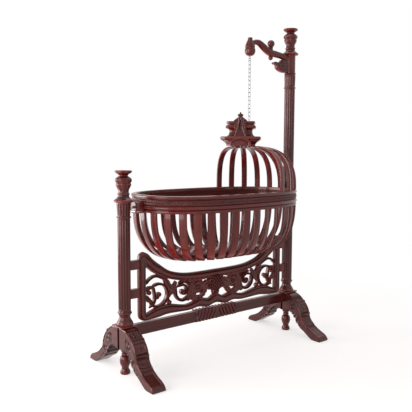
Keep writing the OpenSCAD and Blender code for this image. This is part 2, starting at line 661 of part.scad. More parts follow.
// The carving's places: shares of the half width outwards, and of the panel's height upwards
function spot(x, z) = [x * inner_half, panel_low + z * carve_h];
function part(x, z) = [x * inner_half, z * carve_h];
module bud(at, r) {
    translate(at) circle(r = r);
}
module half_scrolls() {
    big = spot(0.833, 0.575);
    next = spot(0.49, 0.565);
    last = spot(0.27, 0.6);
    // Three scrolls: an open ring by the stile, a ring with a curl in it, and a leafy curl
    scroll(big, part(0.131, 0.293), part(0.122, 0.273), -28, -318, 16, 15, 1);
    scroll(next, part(0.11, 0.247), part(0.105, 0.235), 55, 395, 20, 18, 1);
    scroll(next, part(0.105, 0.235), part(0.018, 0.04), 390, 780, 16, 10, 0.5);
    scroll(last, part(0.088, 0.2), part(0.018, 0.045), -75, 420, 26, 12, 1.3);
    // The arch over the first ring, from the stile to the leaf beside it
    polygon(stem([spot(1.01, 0.86), spot(0.95, 1), spot(0.87, 1.06), spot(0.78, 0.99), spot(0.69, 0.87)], 14, 18));
    // Leaves crossed between the first two rings, and the bud under them
    leaf(spot(0.75, 0.97), spot(0.585, 0.5), 19);
    leaf(spot(0.585, 0.82), spot(0.735, 0.42), 17);
    polygon(stem([spot(0.7, 0.52), spot(0.7, 0.43), spot(0.68, 0.36)], 15, 12));
    bud(spot(0.68, 0.34), 12);
    // The stem, buds and leaves inside the first ring
    polygon(stem([spot(0.905, 0.85), spot(0.885, 0.68), spot(0.875, 0.52), spot(0.89, 0.4), spot(0.95, 0.28)], 13, 16));
    polygon(stem([spot(0.885, 0.52), spot(0.85, 0.5), spot(0.815, 0.55)], 12, 14));
    bud(spot(0.822, 0.585), 13);
    bud(spot(0.955, 0.67), 13);
    leaf(spot(1, 0.72), spot(0.89, 0.78), 12);
    leaf(spot(1, 0.6), spot(0.9, 0.42), 14);
    bud(next, 10);
    bud(last, 10);
    // Leaves that fill the way to the rosette
    leaf(spot(0.42, 0.3), spot(0.355, 0.9), 19);
    leaf(spot(0.31, 0.24), spot(0.36, 0.66), 17);
    leaf(spot(0.4, 0.36), spot(0.2, 0.34), 16);
    leaf(spot(0.24, 0.3), spot(0.12, 0.66), 18);
    leaf(spot(0.24, 0.55), spot(0.08, 0.76), 24);
    leaf(spot(0.24, 0.62), spot(0.06, 0.46), 16);
    polygon(stem([spot(0.49, 0.87), spot(0.36, 0.84), spot(0.22, 0.83), spot(0.07, 0.85)], 26, 26));
}
module scrollwork(end) {
    color(wood_light) translate([panel_x, 0, 0]) mirror([end == "foot" ? 1 : 0, 0, 0]) rotate([90, 0, 0])
        linear_extrude(scroll_t, center = true) difference() {
            intersection() {
                panel_opening();
                half_scrolls();
            }
            translate([0, rosette_z]) circle(r = rosette_r + seat_gap);
            translate([-seat_gap, panel_low]) square([2 * stem_half + 2 * seat_gap, rosette_z - panel_low]);
        }
}
rosette_r = 0.25 * carve_h;
rosette_z = panel_low + 0.65 * carve_h;
stem_half = 7;
module panel_rosette() {
    color(wood) translate([panel_x, 0, 0]) rotate([90, 0, 0]) {
        linear_extrude(scroll_t + 6, center = true) intersection() {
            panel_opening();
            translate([0, rosette_z]) circle(r = rosette_r);
        }
        linear_extrude(scroll_t, center = true) intersection() {
            panel_opening();
            translate([-stem_half, panel_low]) square([2 * stem_half, rosette_z - panel_low]);
        }
    }
}

// ---- canopy arm, drop, eye and chain --------------------------------------------------------

drop_d = 60;
drop_low = tall_h - 0.33 * drop_h;
chain_x = post_x - arm_reach;
drop_shape = [[0, 0], [0.4, 0], [0.76, 0.07], [0.94, 0.17], [1, 0.28], [0.97, 0.38], [0.86, 0.43], [0.92, 0.5],
    [0.84, 0.62], [0.66, 0.75], [0.48, 0.85], [0.44, 0.92], [0.32, 0.98], [0, 1]];
module drop_solid(grow) {
    translate([chain_x + 2, 0, drop_low]) rotate_extrude()
        polygon([for (p = drop_shape) [p[0] * drop_d / 2 + (p[0] > 0 ? grow : 0), p[1] * drop_h]]);
}
module arm_drop() {
    color(wood) difference() {
        drop_solid(0);
        translate([chain_x, 0, drop_low - 1]) cylinder(d = wire_d + 2 * press_gap, h = eye_shank + 1.5, $fn = 24);
    }
}
// A round member along a line of [sideways, up] points in the XZ plane, with a half width at each; it is
// never deeper than twice the last number
module rounded_member(line, half, deep) {
    m = len(line);
    n = 12;
    points = [for (i = [0 : m - 1]) let (
        d = line[min(i + 1, m - 1)] - line[max(i - 1, 0)],
        side = [-d[1], d[0]] / norm(d)
    ) for (j = [0 : n - 1]) let (a = 360 * j / n)
        [line[i][0] + side[0] * half[i] * cos(a), min(half[i], deep) * sin(a),
            line[i][1] + side[1] * half[i] * cos(a)]];
    last = (m - 1) * n;
    polyhedron(points, concat([for (j = [1 : n - 2]) each [[0, j + 1, j], [last, last + j, last + j + 1]]],
        [for (i = [0 : m - 2]) for (j = [0 : n - 1]) let (k = (j + 1) % n)
            each [[i * n + j, (i + 1) * n + k, (i + 1) * n + j], [i * n + j, i * n + k, (i + 1) * n + k]]]),
        convexity = 6);
}
// The arm's S from the drop to the post, as shares of its reach and its height, with its half width as a
// share of the thickness; then the outline of the volute under it
arm_line = [[0.955, 0.86, 0.3], [0.91, 0.895, 0.4], [0.86, 0.912, 0.46], [0.79, 0.905, 0.54], [0.73, 0.85, 0.6],
    [0.665, 0.775, 0.62], [0.6, 0.705, 0.62], [0.51, 0.635, 0.62], [0.39, 0.615, 0.6], [0.28, 0.595, 0.56],
    [0.19, 0.57, 0.56], [0.07, 0.535, 0.56]];
volute_shape = [[0.074, 0.563], [0.164, 0.498], [0.238, 0.444], [0.249, 0.397], [0.279, 0.353],
    [0.322, 0.359], [0.361, 0.325], [0.399, 0.358], [0.440, 0.320], [0.432, 0.281], [0.388, 0.274],
    [0.369, 0.230], [0.361, 0.157], [0.322, 0.090], [0.262, 0.045], [0.191, 0.021], [0.137, 0.031],
    [0.074, 0.069]];
arm_bud = [0.495, 0.94];
module arm_volute() {
    edge = smooth([for (p = volute_shape) [-p[0] * arm_reach, p[1] * arm_h]], 2);
    heart = [-0.2 * arm_reach, 0.23 * arm_h];
    rotate([90, 0, 0]) linear_extrude(0.9 * arm_t, center = true) polygon(edge);
    rotate([90, 0, 0]) linear_extrude(1.2 * arm_t, center = true)
        polygon([for (p = edge) 0.78 * p + 0.22 * heart]);
}
module canopy_arm() {
    low = drop_low - 0.435 * arm_h;
    color(wood) difference() {
        translate([post_x, 0, low]) {
            line = smooth([for (p = arm_line) [-p[0] * arm_reach, p[1] * arm_h, p[2] * arm_t]], 3);
            rounded_member([for (q = line) [q[0], q[1]]], [for (q = line) q[2]], 0.62 * arm_t);
            arm_volute();
            // The carved bud on the arm's back, its neck, and the small bud below
            translate([-arm_bud[0] * arm_reach, 0, arm_bud[1] * arm_h]) sphere(r = 0.125 * arm_h, $fn = 20);
            translate([-arm_bud[0] * arm_reach, 0, 0.66 * arm_h]) cylinder(r = 0.4 * arm_t, h = 0.22 * arm_h, $fn = 20);
            translate([-0.5 * arm_reach, 0, 0.47 * arm_h]) sphere(r = 0.08 * arm_h, $fn = 16);
            // The pad that the arm and the volute spring from
            translate([-1.5 * post_r, -0.45 * arm_t, 0.05 * arm_h]) cube([post_r, 0.9 * arm_t, 0.6 * arm_h]);
        }
        translate([post_x, 0, low - 20]) cylinder(r = post_r + seat_gap, h = arm_h + 40);
        // The post's ring under the arm's foot
        translate([post_x, 0, low - 20])
            cylinder(r = 1.15 * post_r + seat_gap, h = tall_h - tall_plain_h + cap_ring + seat_gap - low + 20);
        drop_solid(3 * seat_gap);
        translate([post_x, 0, tall_h - seat_gap]) cylinder(r = finial_d / 2 + 1, h = 0.3 * finial_h);
    }
}
eye_r = 6.5;
eye_shank = 16;
eye_z = drop_low - eye_r - wire_d / 2 - 1;
module ring(r) {
    rotate_extrude() translate([r, 0]) circle(d = wire_d, $fn = 24);
}
module screw_eye() {
    color(steel) translate([chain_x, 0, eye_z]) {
        rotate([90, 0, 0]) ring(eye_r);
        translate([0, 0, eye_r]) cylinder(d = wire_d, h = eye_shank, $fn = 24);
    }
}
ring_r = 8;
ring_z = eye_z - eye_r - ring_r + wire_d + link_gap;
link_r = (link_w - wire_d) / 2;
link_straight = link_pitch + link_gap + wire_d - 2 * link_r;
link_top_z = ring_z - ring_r + wire_d + link_gap;
// Links that fit between the ring and the crown, with room for the crown to swing below them
crown_at_chain = cornice_w / sqrt(2) - (chain_x - basket_x - dome_x);
crown_sweep = pivot_z + norm([crown_at_chain, cap_top + crown_h - pivot_z]);
chain_room = 4;
link_count = floor((link_top_z - crown_sweep - chain_room) / link_pitch);
module chain_ring() {
    color(steel) translate([chain_x, 0, ring_z]) rotate([0, 90, 0]) ring(ring_r);
}
// One link, hanging from the height of its upper wire's middle, drawn in the XZ plane
module link() {
    half = link_straight / 2;
    translate([0, 0, -link_r - half]) rotate([90, 0, 0]) {
        for (s = [0, 180]) rotate([0, 0, s]) {
            translate([0, half, 0]) rotate_extrude(angle = 180)
                translate([link_r, 0]) circle(d = wire_d, $fn = 24);
            translate([link_r, 0, 0]) rotate([90, 0, 0])
                cylinder(d = wire_d, h = 2 * half, center = true, $fn = 24);
        }
    }
}
module links(first, last) {
    color(steel) for (i = [first : last])
        translate([chain_x, 0, link_top_z - i * link_pitch]) rotate([0, 0, 90 * (i % 2)]) link();
}
upper_links = floor(0.4 * link_count);
module chain_upper() {
    links(0, upper_links - 1);
}
module chain_lower() {
    links(upper_links, link_count - 2);
}
module chain_end_link() {
    links(link_count - 1, link_count - 1);
}

// ---- nodes ----------------------------------------------------------------------------------

leg("foot", 1);  // leg_foot_front
leg("foot", 0);  // leg_foot_back
leg("head", 1);  // leg_head_front
leg("head", 0);  // leg_head_back
hubs();
turned_feet();
short_post();
tall_post();
finial_short_post();
finial_tall_post();
stretcher();
panel_top_rail();
panel_bottom_rail();
panel_stile("foot");  // panel_stile_foot_end
panel_stile("head");  // panel_stile_head_end
scrollwork("foot");  // scrollwork_foot_half
scrollwork("head");  // scrollwork_head_half
panel_rosette();
panel_blocks();
pivot_bushes();
canopy_arm();
arm_drop();
screw_eye();
rim_band();
rim_rope();
bottom_board();
slats_at_ends();
slat_pair(1);  // slats_01
slat_pair(2);  // slats_02
slat_pair(3);  // slats_03
slat_pair(4);  // slats_04
slat_pair(5);  // slats_05
slat_pair(6);  // slats_06
slat_pair(7);  // slats_07
slat_pair(8);  // slats_08
slat_pair(9);  // slats_09
slat_pair(10);  // slats_10
slat_pair(11);  // slats_11
slat_pair(12);  // slats_12
slat_pair(13);  // slats_13
slat_pair(14);  // slats_14
slat_pair(15);  // slats_15
slat_pair(16);  // slats_16
hood_rib_middle();
hood_rib_pair(1);  // hood_ribs_1
hood_rib_pair(2);  // hood_ribs_2
hood_rib_pair(3);  // hood_ribs_3
hood_rib_pair(4);  // hood_ribs_4
hood_rib_pair(5);  // hood_ribs_5
hood_cap();
crown();
palmette();
pivot_block("foot");  // pivot_block_foot_end
pivot_block("head");  // pivot_block_head_end
pivot_pins();
pivot_plates();
chain_ring();
chain_upper();
chain_lower();
chain_end_link();
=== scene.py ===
# %% [markdown]
# A swinging cradle on a carved stand, dressed for a studio picture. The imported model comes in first. It
# fixes where every piece is, so nothing here has to be fitted by eye. Lengths are in metres, apart from
# the depths in the two moulding profiles, which are in millimetres.

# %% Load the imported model
from math import atan2, cos, degrees, hypot, pi, radians, sin, sqrt, tan

import bpy
import numpy as np
from mathutils import Matrix, Vector


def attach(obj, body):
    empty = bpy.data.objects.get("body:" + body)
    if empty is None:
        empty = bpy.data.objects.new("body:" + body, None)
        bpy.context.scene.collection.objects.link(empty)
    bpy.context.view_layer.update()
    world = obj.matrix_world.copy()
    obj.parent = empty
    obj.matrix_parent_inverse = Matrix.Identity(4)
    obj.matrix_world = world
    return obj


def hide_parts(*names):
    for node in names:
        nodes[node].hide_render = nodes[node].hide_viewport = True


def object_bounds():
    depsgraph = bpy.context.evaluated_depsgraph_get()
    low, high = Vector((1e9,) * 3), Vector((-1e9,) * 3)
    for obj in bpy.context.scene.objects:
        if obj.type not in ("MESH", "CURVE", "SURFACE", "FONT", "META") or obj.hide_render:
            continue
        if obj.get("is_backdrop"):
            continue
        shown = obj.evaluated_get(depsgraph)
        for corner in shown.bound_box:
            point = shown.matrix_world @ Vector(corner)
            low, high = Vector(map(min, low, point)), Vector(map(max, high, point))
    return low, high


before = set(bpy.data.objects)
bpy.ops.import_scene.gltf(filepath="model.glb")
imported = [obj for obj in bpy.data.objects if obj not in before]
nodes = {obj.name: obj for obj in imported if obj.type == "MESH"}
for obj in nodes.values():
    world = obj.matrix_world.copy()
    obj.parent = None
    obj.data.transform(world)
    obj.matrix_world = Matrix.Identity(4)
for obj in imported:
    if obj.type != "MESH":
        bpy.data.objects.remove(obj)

cad_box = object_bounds()

# %% [markdown]
# The picture was taken a little from the front and from the foot end, at chest height. The camera is
# given by its place and by the way it looks. Its lens follows from the focal length in pixels of the
# square picture, which could be tried by hand, but is exact when it is worked out.

# %% Camera
yaw, pitch, roll = 0.6794, 0.0959, 0.0033
eye = Vector((-2.024, -2.4265, 1.1097))
focal_px, picture_px, sensor_mm = 578.68, 412, 36
look = Vector((sin(yaw) * cos(pitch), cos(yaw) * cos(pitch), -sin(pitch)))
right = Vector((cos(yaw), -sin(yaw), 0))
up = right.cross(look)
right, up = right * cos(roll) + up * sin(roll), up * cos(roll) - right * sin(roll)
bpy.ops.object.camera_add()
camera = bpy.context.object
camera.matrix_world = Matrix((
    (right.x, up.x, -look.x, eye.x), (right.y, up.y, -look.y, eye.y),
    (right.z, up.z, -look.z, eye.z), (0, 0, 0, 1)))
camera.data.sensor_width = sensor_mm
camera.data.lens = focal_px / picture_px * sensor_mm
bpy.context.scene.camera = camera
print("camera: %.1f mm lens" % camera.data.lens)

# %% [markdown]
# A finish in Blender is a tree of nodes joined by links. It could be built by clicking, or with three
# lines of code for each node. Here one helper adds a node and gives each of its inputs a plain value or
# the node that feeds it, so that a finish reads from top to bottom like a recipe.

# %% Shader nodes
def feed(tree, node, inputs):
    """Gives inputs their plain values, or links them to the node or the output that feeds them."""
    for key, value in inputs.items():
        if isinstance(value, bpy.types.Node):
            value = value.outputs[0]
        if isinstance(value, bpy.types.NodeSocket):
            tree.links.new(value, node.inputs[key])
        else:
            node.inputs[key].default_value = value


def add(tree, kind, inputs=None, **settings):
    """A new node, with its settings and its inputs."""
    node = tree.nodes.new("ShaderNode" + kind)
    for key, value in settings.items():
        setattr(node, key, value)
    feed(tree, node, inputs or {})
    return node


def shown(tree):
    """1 for what the camera sees, also through glass and in anything glossy."""
    rays = add(tree, "LightPath")
    seen = rays.outputs["Is Camera Ray"]
    for kind in ("Is Glossy Ray", "Is Transmission Ray"):
        seen = add(tree, "Math", {0: seen, 1: rays.outputs[kind]}, operation="MAXIMUM").outputs[0]
    return seen


print("node helpers:", [f.__name__ for f in (feed, add, shown)])

# %% [markdown]
# The studio is white all round. A brighter world would wash out the stain, so the air that lights the
# cradle is dimmer than the white that the camera and the lacquer see. Four large soft lamps stand for
# windows and a ceiling light: the strong ones are on the left, where the bright faces of the real one
# are.

# %% Studio air and lamps
bpy.context.scene.view_settings.view_transform = "Standard"
world = bpy.data.worlds.new("studio")
bpy.context.scene.world = world
world.use_nodes = True
air = world.node_tree
air.nodes.clear()
fill = add(air, "Background", {"Color": (1.0, 0.98, 0.97, 1), "Strength": 0.54})
white = add(air, "Background", {"Color": (1, 1, 1, 1), "Strength": 1.0})
add(air, "OutputWorld", {0: add(air, "MixShader", {0: shown(air), 1: fill, 2: white})})


def lamp(name, at, aim, size, watts):
    """A soft square lamp at a place, aimed at a point."""
    bpy.ops.object.light_add(type="AREA", location=at)
    o = bpy.context.object
    o.name = name
    o.data.size, o.data.energy = size, watts
    o.rotation_euler = (Vector(aim) - Vector(at)).to_track_quat("-Z", "Y").to_euler()
    print("lamp:", name, watts, "W")


lamp("left_window", (-3.5, -0.35, 1.3), (0, 0, 0.6), 2.2, 85)
lamp("left_back_window", (-2.6, 2.6, 0.95), (0, 0, 0.4), 2.2, 125)
lamp("front_window", (0.6, -3.6, 1.9), (0, 0, 0.8), 2.2, 8)
lamp("top_light", (0.2, 0.4, 3.8), (0, 0, 0.6), 2.4, 40)

# %% [markdown]
# The floor could be a bent backdrop. A flat one is simpler: to the lamps it is a plain pale floor, and to
# the camera it is paper with a glow of its own, which keeps the stand's shadow and fades to white further
# out.

# %% Studio floor
bpy.ops.mesh.primitive_grid_add(x_subdivisions=8, y_subdivisions=8, size=60, location=(0, 0, -0.0006))
floor = bpy.context.object
floor.name = "studio_floor"
floor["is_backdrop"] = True
fade_from, fade_to = 0.9, 2.4
paper = bpy.data.materials.new("floor_paper")
paper.use_nodes = True
sheet = paper.node_tree
sheet.nodes.clear()
plain = add(sheet, "BsdfDiffuse", {"Color": (0.50, 0.48, 0.47, 1)})
lit = add(sheet, "AddShader", {0: plain, 1: add(sheet, "Emission", {"Strength": 0.56})})
from_stand = add(sheet, "VectorMath", {0: add(sheet, "TexCoord").outputs["Object"]}, operation="LENGTH")
fade = add(sheet, "MapRange", {"Value": from_stand.outputs["Value"], "From Min": fade_from,
                               "From Max": fade_to}, interpolation_type="SMOOTHSTEP")
seen = add(sheet, "MixShader", {0: fade, 1: lit, 2: add(sheet, "Emission", {"Strength": 1.0})})
add(sheet, "OutputMaterial", {0: add(sheet, "MixShader", {0: shown(sheet), 1: plain, 2: seen})})
floor.data.materials.append(paper)
print("floor: fades from %.1f to %.1f m" % (fade_from, fade_to))

# %% [markdown]
# Every finish starts as a new material, which has Blender's main shader in it already, and most need a
# colour that goes from one tone to another. Both could be written out each time, but as helpers they keep
# the finishes below short.

# %% Starting a finish
def new_finish(name):
    """A new material, its node tree and its shader."""
    m = bpy.data.materials.new(name)
    m.use_nodes = True
    return m, m.node_tree, m.node_tree.nodes["Principled BSDF"]


def ramp(tree, amount, colours, places=(0, 1)):
    """A colour that goes from the first to the second as an amount rises."""
    node = add(tree, "ValToRGB", {"Fac": amount})
    for end, place, colour in zip(node.color_ramp.elements, places, colours):
        end.position, end.color = place, (*colour, 1)
    return node


print("finish helpers:", [f.__name__ for f in (new_finish, ramp)])

# %% [markdown]
# Nearly all of the cradle is hardwood, stained red-brown and lacquered to a gloss. It could be one flat
# brown, but real wood shows its grain and a cloudy stain. Painted shade darkens the hollows, a painted
# highlight lightens the edges, and a painted reflection of red light tints the undersides. The grain is
# a noise drawn out along the wood, so each piece asks for the direction its own grain runs in.
# The clear lacquer over it is the shader's coat, set as plain numbers so that it survives the export.

# %% Lacquered wood
# The two stains are the wood's own tones; painted_reflection_red is painted light, the red the undersides
# reflect from below
dark_stain, light_stain, painted_reflection_red = (0.034, 0.005, 0.0045), (0.082, 0.012, 0.010), (0.125, 0.006, 0.004)


def lacquer(name, along, bump=0.12):
    """Stained and lacquered wood, with its grain along one axis of the object."""
    m, t, skin = new_finish(name)
    place = add(t, "TexCoord")
    drawn_out = [6 if a == along else 90 for a in "XYZ"]
    stretch = add(t, "Mapping", {"Vector": place.outputs["Object"], "Scale": drawn_out})
    grain = add(t, "TexNoise", {"Vector": stretch, "Scale": 1.0, "Detail": 5, "Distortion": 0.6})
    cloud = add(t, "TexNoise", {"Vector": place.outputs["Object"], "Scale": 5, "Detail": 2})
    amount = add(t, "Math", {0: cloud, 1: 0.35, 2: grain}, operation="MULTIPLY_ADD")
    stain = ramp(t, amount, (dark_stain, light_stain), (0.42, 0.95))
    # Painted reflection: surfaces that face down are tinted a deep red, as if red light came up from below
    facing = add(t, "SeparateXYZ", {0: place.outputs["Normal"]})
    below = add(t, "MapRange", {"Value": facing.outputs["Z"], "From Min": -0.25, "From Max": -0.75})
    red = add(t, "Mix", {"Factor": below, "A": stain, "B": (*painted_reflection_red, 1)}, data_type="RGBA")
    # Painted shade darkens the hollows and a painted highlight lightens the edges, both read from the mesh's
    # pointiness
    painted_shade_and_highlight = add(t, "MapRange", {"Value": add(t, "NewGeometry").outputs["Pointiness"], "From Min": 0.47,
                                 "From Max": 0.53, "To Min": 0.1, "To Max": 1.9})
    colour = add(t, "VectorMath", {0: red.outputs["Result"], "Scale": painted_shade_and_highlight}, operation="SCALE")
    pores = add(t, "Bump", {"Height": grain, "Strength": bump, "Distance": 0.0004})
    feed(t, skin, {"Base Color": colour, "Normal": pores, "Roughness": 0.3, "Specular IOR Level": 0.28,
                   "Specular Tint": (1.0, 0.62, 0.58, 1), "Coat Weight": 0.32, "Coat Roughness": 0.06})
    return m


wood_z = lacquer("lacquered_wood_upright", "Z")
wood_x = lacquer("lacquered_wood_lengthwise", "X")
wood_y = lacquer("lacquered_wood_crosswise", "Y")
carved = lacquer("carved_lacquered_wood", "X", bump=0.25)
print("wood finishes:", [m.name for m in (wood_z, wood_x, wood_y, carved)])

# %% [markdown]
# The pins and their plates are steel, the bushes in the posts brass, and the chain is chromed wire. One
# plain grey would look like plastic, so a fine noise changes the tone and the polish from spot to spot.

# %% Metals
def metal(name, colour, roughness, scratch):
    """Bright metal with fine uneven polish."""
    m, t, skin = new_finish(name)
    noise = add(t, "TexNoise", {"Vector": add(t, "TexCoord").outputs["Object"], "Scale": 260, "Detail": 3})
    tone = ramp(t, noise, ([c * 0.8 for c in colour], colour))
    rough = add(t, "MapRange", {"Value": noise, "To Min": roughness * 0.7, "To Max": roughness * 1.4})
    dents = add(t, "Bump", {"Height": noise, "Strength": scratch, "Distance": 0.0001})
    feed(t, skin, {"Metallic": 1.0, "Base Color": tone, "Roughness": rough, "Normal": dents})
    return m


steel = metal("pivot_steel", (0.56, 0.55, 0.54), 0.3, 0.3)
brass = metal("bush_brass", (0.75, 0.55, 0.25), 0.3, 0.3)
chrome = metal("chain_chrome", (0.24, 0.24, 0.25), 0.24, 0.1)
print("metals:", [m.name for m in (steel, brass, chrome)])

# %% [markdown]
# The bends, turnings and carvings of the cradle are drawn through a few points each, as a maker draws
# them with a bent batten. Blender's own curves could do that, but their points would then have to be read
# back. A short formula gives the points of the smooth line at once.

# %% Smooth lines
def curve(points, steps=6):
    """A smooth line through a few points, with steps spans between two of them."""
    p = np.asarray(points, float)
    q = np.vstack([2 * p[0] - p[1], p, 2 * p[-1] - p[-2]])
    out = []
    for i in range(len(p) - 1):
        a, b, c, d = q[i:i + 4]
        for t in np.linspace(0, 1, steps, endpoint=False):
            out.append(0.5 * (2 * b + (c - a) * t + (2 * a - 5 * b + 4 * c - d) * t * t
                              + (3 * b - a - 3 * c + d) * t ** 3))
    return np.array(out + [p[-1]])


def eased_line(points, steps=4):
    """The same as a list, to be put between straight pieces of a profile."""
    return [tuple(p) for p in curve(points, steps)]


def distances(points):
    """How far along a line each of its points lies."""
    return np.concatenate([[0], np.cumsum(np.linalg.norm(np.diff(points, axis=0), axis=1))])


print("a smooth line through 3 points has", len(curve([(0, 0), (1, 0), (1, 1)])), "points")

# %% [markdown]
# Most wooden parts of a cradle are one section drawn along a line: a slat is a strip drawn round a bend,
# a moulding is a profile drawn round the rim, and a turning is a profile drawn round its own axis. So one
# helper does it all. It adds a grid, sets each row of it on one ring of the section, and closes the seams
# in edit mode. It could be a curve with a bevel, but a grid keeps control of every ring.

# %% A grid drawn over rings
def newest(name):
    """The active object, which is the one that was just made, under its name."""
    o = bpy.context.object
    o.name = o.data.name = name
    return o


def tidy(o, angle):
    """Merges doubles, points all faces outwards and shades smooth up to an angle."""
    bpy.ops.object.mode_set(mode="EDIT")
    bpy.ops.mesh.select_all(action="SELECT")
    bpy.ops.mesh.remove_doubles(threshold=2e-6)
    bpy.ops.mesh.select_all(action="SELECT")
    bpy.ops.mesh.normals_make_consistent(inside=False)
    bpy.ops.object.mode_set(mode="OBJECT")
    bpy.ops.object.shade_smooth_by_angle(angle=radians(angle))
    return o


def rolled(name, rings, loop=False, tube=True, angle=38):
    """A mesh over rings of points. loop joins the last ring to the first, tube each ring's two ends."""
    rings = np.asarray(rings, float)
    if tube:
        rings = np.concatenate([rings, rings[:, :1]], 1)
    if loop:
        rings = np.concatenate([rings, rings[:1]], 0)
    n, m = rings.shape[:2]
    bpy.ops.object.select_all(action="DESELECT")
    bpy.ops.mesh.primitive_grid_add(x_subdivisions=m - 1, y_subdivisions=n - 1, size=1)
    o = newest(name)
    o.data.vertices.foreach_set("co", rings.reshape(-1))
    bpy.ops.object.mode_set(mode="EDIT")
    bpy.ops.mesh.select_all(action="SELECT")
    bpy.ops.mesh.remove_doubles(threshold=2e-6)
    if tube and not loop:
        bpy.ops.mesh.select_all(action="SELECT")
        bpy.ops.mesh.fill_holes(sides=0)
    bpy.ops.object.mode_set(mode="OBJECT")
    return tidy(o, angle)


print("mesh helpers:", [f.__name__ for f in (newest, tidy, rolled)])

# %% [markdown]
# A cradle is alike on both of its long sides, and many of its pieces come in pairs. What repeats is made
# once and copied, each copy with its own mesh. An array or a mirror modifier could do that too, but
# copies can then ride on different bodies and be finished one by one.

# %% Joining and copying
def only(o):
    """Selects one object alone and makes it the active one."""
    bpy.ops.object.select_all(action="DESELECT")
    o.select_set(True)
    bpy.context.view_layer.objects.active = o


def joined(name, parts):
    """Several meshes become one piece."""
    only(parts[0])
    for o in parts:
        o.select_set(True)
    if len(parts) > 1:
        bpy.ops.object.join()
    return newest(name)


def copied(o, name, matrix):
    """A copy with its own mesh, moved by a matrix. A mirrored copy is turned right side out again."""
    c = o.copy()
    c.data = o.data.copy()
    c.name = c.data.name = name
    bpy.context.collection.objects.link(c)
    c.data.transform(matrix)
    if matrix.determinant() < 0:
        c.data.flip_normals()
    return c


def paired(name, one, matrix):
    """One piece made of a mesh and its moved or mirrored twin."""
    return joined(name, [one, copied(one, "twin", matrix)])


mirror_x, mirror_y = Matrix.Scale(-1, 4, (1, 0, 0)), Matrix.Scale(-1, 4, (0, 1, 0))
print("mirrors:", mirror_x.determinant(), mirror_y.determinant())

# %% [markdown]
# A piece is finished when it is one mesh with its place in it, has its finish, moves with its body, and
# hides the imported nodes that it stands for. Each of these is one call, and one helper makes them all, so
# that no piece misses one.

# %% Finishing a piece
made = {}


def finished(o, body, finish, slot, *stands_for):
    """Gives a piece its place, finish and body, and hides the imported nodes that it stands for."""
    only(o)
    bpy.ops.object.transform_apply(location=True, rotation=True, scale=True)
    o.data.materials.clear()
    o.data.materials.append(finish)
    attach(o, body)
    if stands_for:
        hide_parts(*stands_for)
    made[o.name] = len(o.data.polygons)
    return o


print("finished pieces so far:", len(made))

# %% [markdown]
# The rim is an oval that is squarer than an ellipse, and so are the bends of the slats and ribs. A circle
# that is scaled would be quicker to add, but its corners would be too round. So a power of the sine and
# of the cosine gives the points, and the slope of the same oval gives the directions out of it.

# %% A squared ellipse
def power(v, e):
    """A power that keeps the sign."""
    return np.sign(v) * np.abs(v) ** e


def squared_ellipse(t, a, b, n):
    """Points of an ellipse of half-sides a and b, at angles t. It is the squarer, the higher n is."""
    return np.stack([a * power(np.cos(t), 2 / n), b * power(np.sin(t), 2 / n)], -1)


def away(p, a, b, n):
    """The directions that point straight out of a squared ellipse at its points."""
    g = np.stack([power(p[..., 0] / a, n - 1) / a, power(p[..., 1] / b, n - 1) / b], -1)
    return g / np.linalg.norm(g, axis=-1, keepdims=True)


print("squared ellipse: its corner is at %.3f of its half-sides" % squared_ellipse(pi / 4, 1, 1, 2.6)[0])

# %% [markdown]
# The rim's own oval is the widest part of the basket, and its middle lies a little nearer the head end
# than the stand's. Its points could be taken at equal angles. They are spaced evenly along it instead, so
# that the carved band keeps the same pitch all the way round.

# %% The rim's plan
# Half its length, half its width, how square it is, the height of its top, and its thickness
rim_a, rim_b, rim_n, rim_top, rim_t = 0.5, 0.29, 2.6, 0.889, 0.028
rim_low = rim_top - 0.086
basket_x = 0.020


def oval(t, a, b):
    """Points of an oval as square as the rim, at angles t in degrees."""
    return squared_ellipse(np.radians(t), a, b, rim_n)


def outward(p):
    """The directions that point out of the rim."""
    return away(p, rim_a, rim_b, rim_n)


fine = np.arange(0, 360.01, 0.25)
run = distances(oval(fine, rim_a, rim_b))
rim_round = run[-1]


def rim_angle(share):
    """The angle at a share of the way round the rim."""
    return np.interp(np.asarray(share) * rim_round, run, fine)


def round_rim(count, inset, height):
    """Rings at even steps round the rim, of points that lie inset from its edge at their heights."""
    base = oval(rim_angle(np.arange(count) / count), rim_a, rim_b)
    inset = np.broadcast_to(inset, (count, len(height)))
    flat = base[:, None] - inset[..., None] * outward(base)[:, None]
    high = np.broadcast_to(height, inset.shape)
    return np.concatenate([flat + [basket_x, 0], high[..., None]], -1)


print("rim: %.2f m round" % rim_round)

# %% [markdown]
# The rim band has a rounded lip, a sunk frieze, a round moulding, a quirk and a plain lower edge, as a
# joiner runs them with moulding planes. Each point of the profile is a share of the band's thickness and
# a depth in millimetres. A bevel on a plain band could not give these steps, so the whole profile is
# drawn round.

# %% Rim band
lip = [(1 - 0.2 * (1 - cos(a)), 3.2 - 3.2 * sin(a)) for a in np.linspace(0, pi / 2, 5)]
top_edge = [(0.34 - 0.34 * sin(a), 6 - 6 * cos(a)) for a in np.linspace(0, pi / 2, 7)]
profile = lip + [(0.6, 0)] + top_edge + [
    (0, 12), (0.03, 13.5), (0.1, 14.5), (0.11, 16.5), (0.2, 17.5), (0.34, 19), (0.36, 50), (0.16, 50.6),
    (0.1, 51.4), (0.02, 54), (-0.03, 57.5), (-0.03, 61), (0.02, 64.5), (0.1, 67), (0.2, 68), (0.24, 69.5),
    (0.24, 71.5), (0.14, 72.6), (0.1, 73), (0.07, 75), (0.06, 81), (0.1, 84), (0.2, 86), (0.92, 86), (1, 84),
    (1.02, 70), (1.02, 20)]
profile = np.array([(s * rim_t, rim_top - d / 1000) for s, d in profile])
band = rolled("moulded_rim_band", round_rim(240, *profile.T), loop=True, angle=30)
finished(band, "cradle", wood_x, "lacquered_wood", "rim_band")
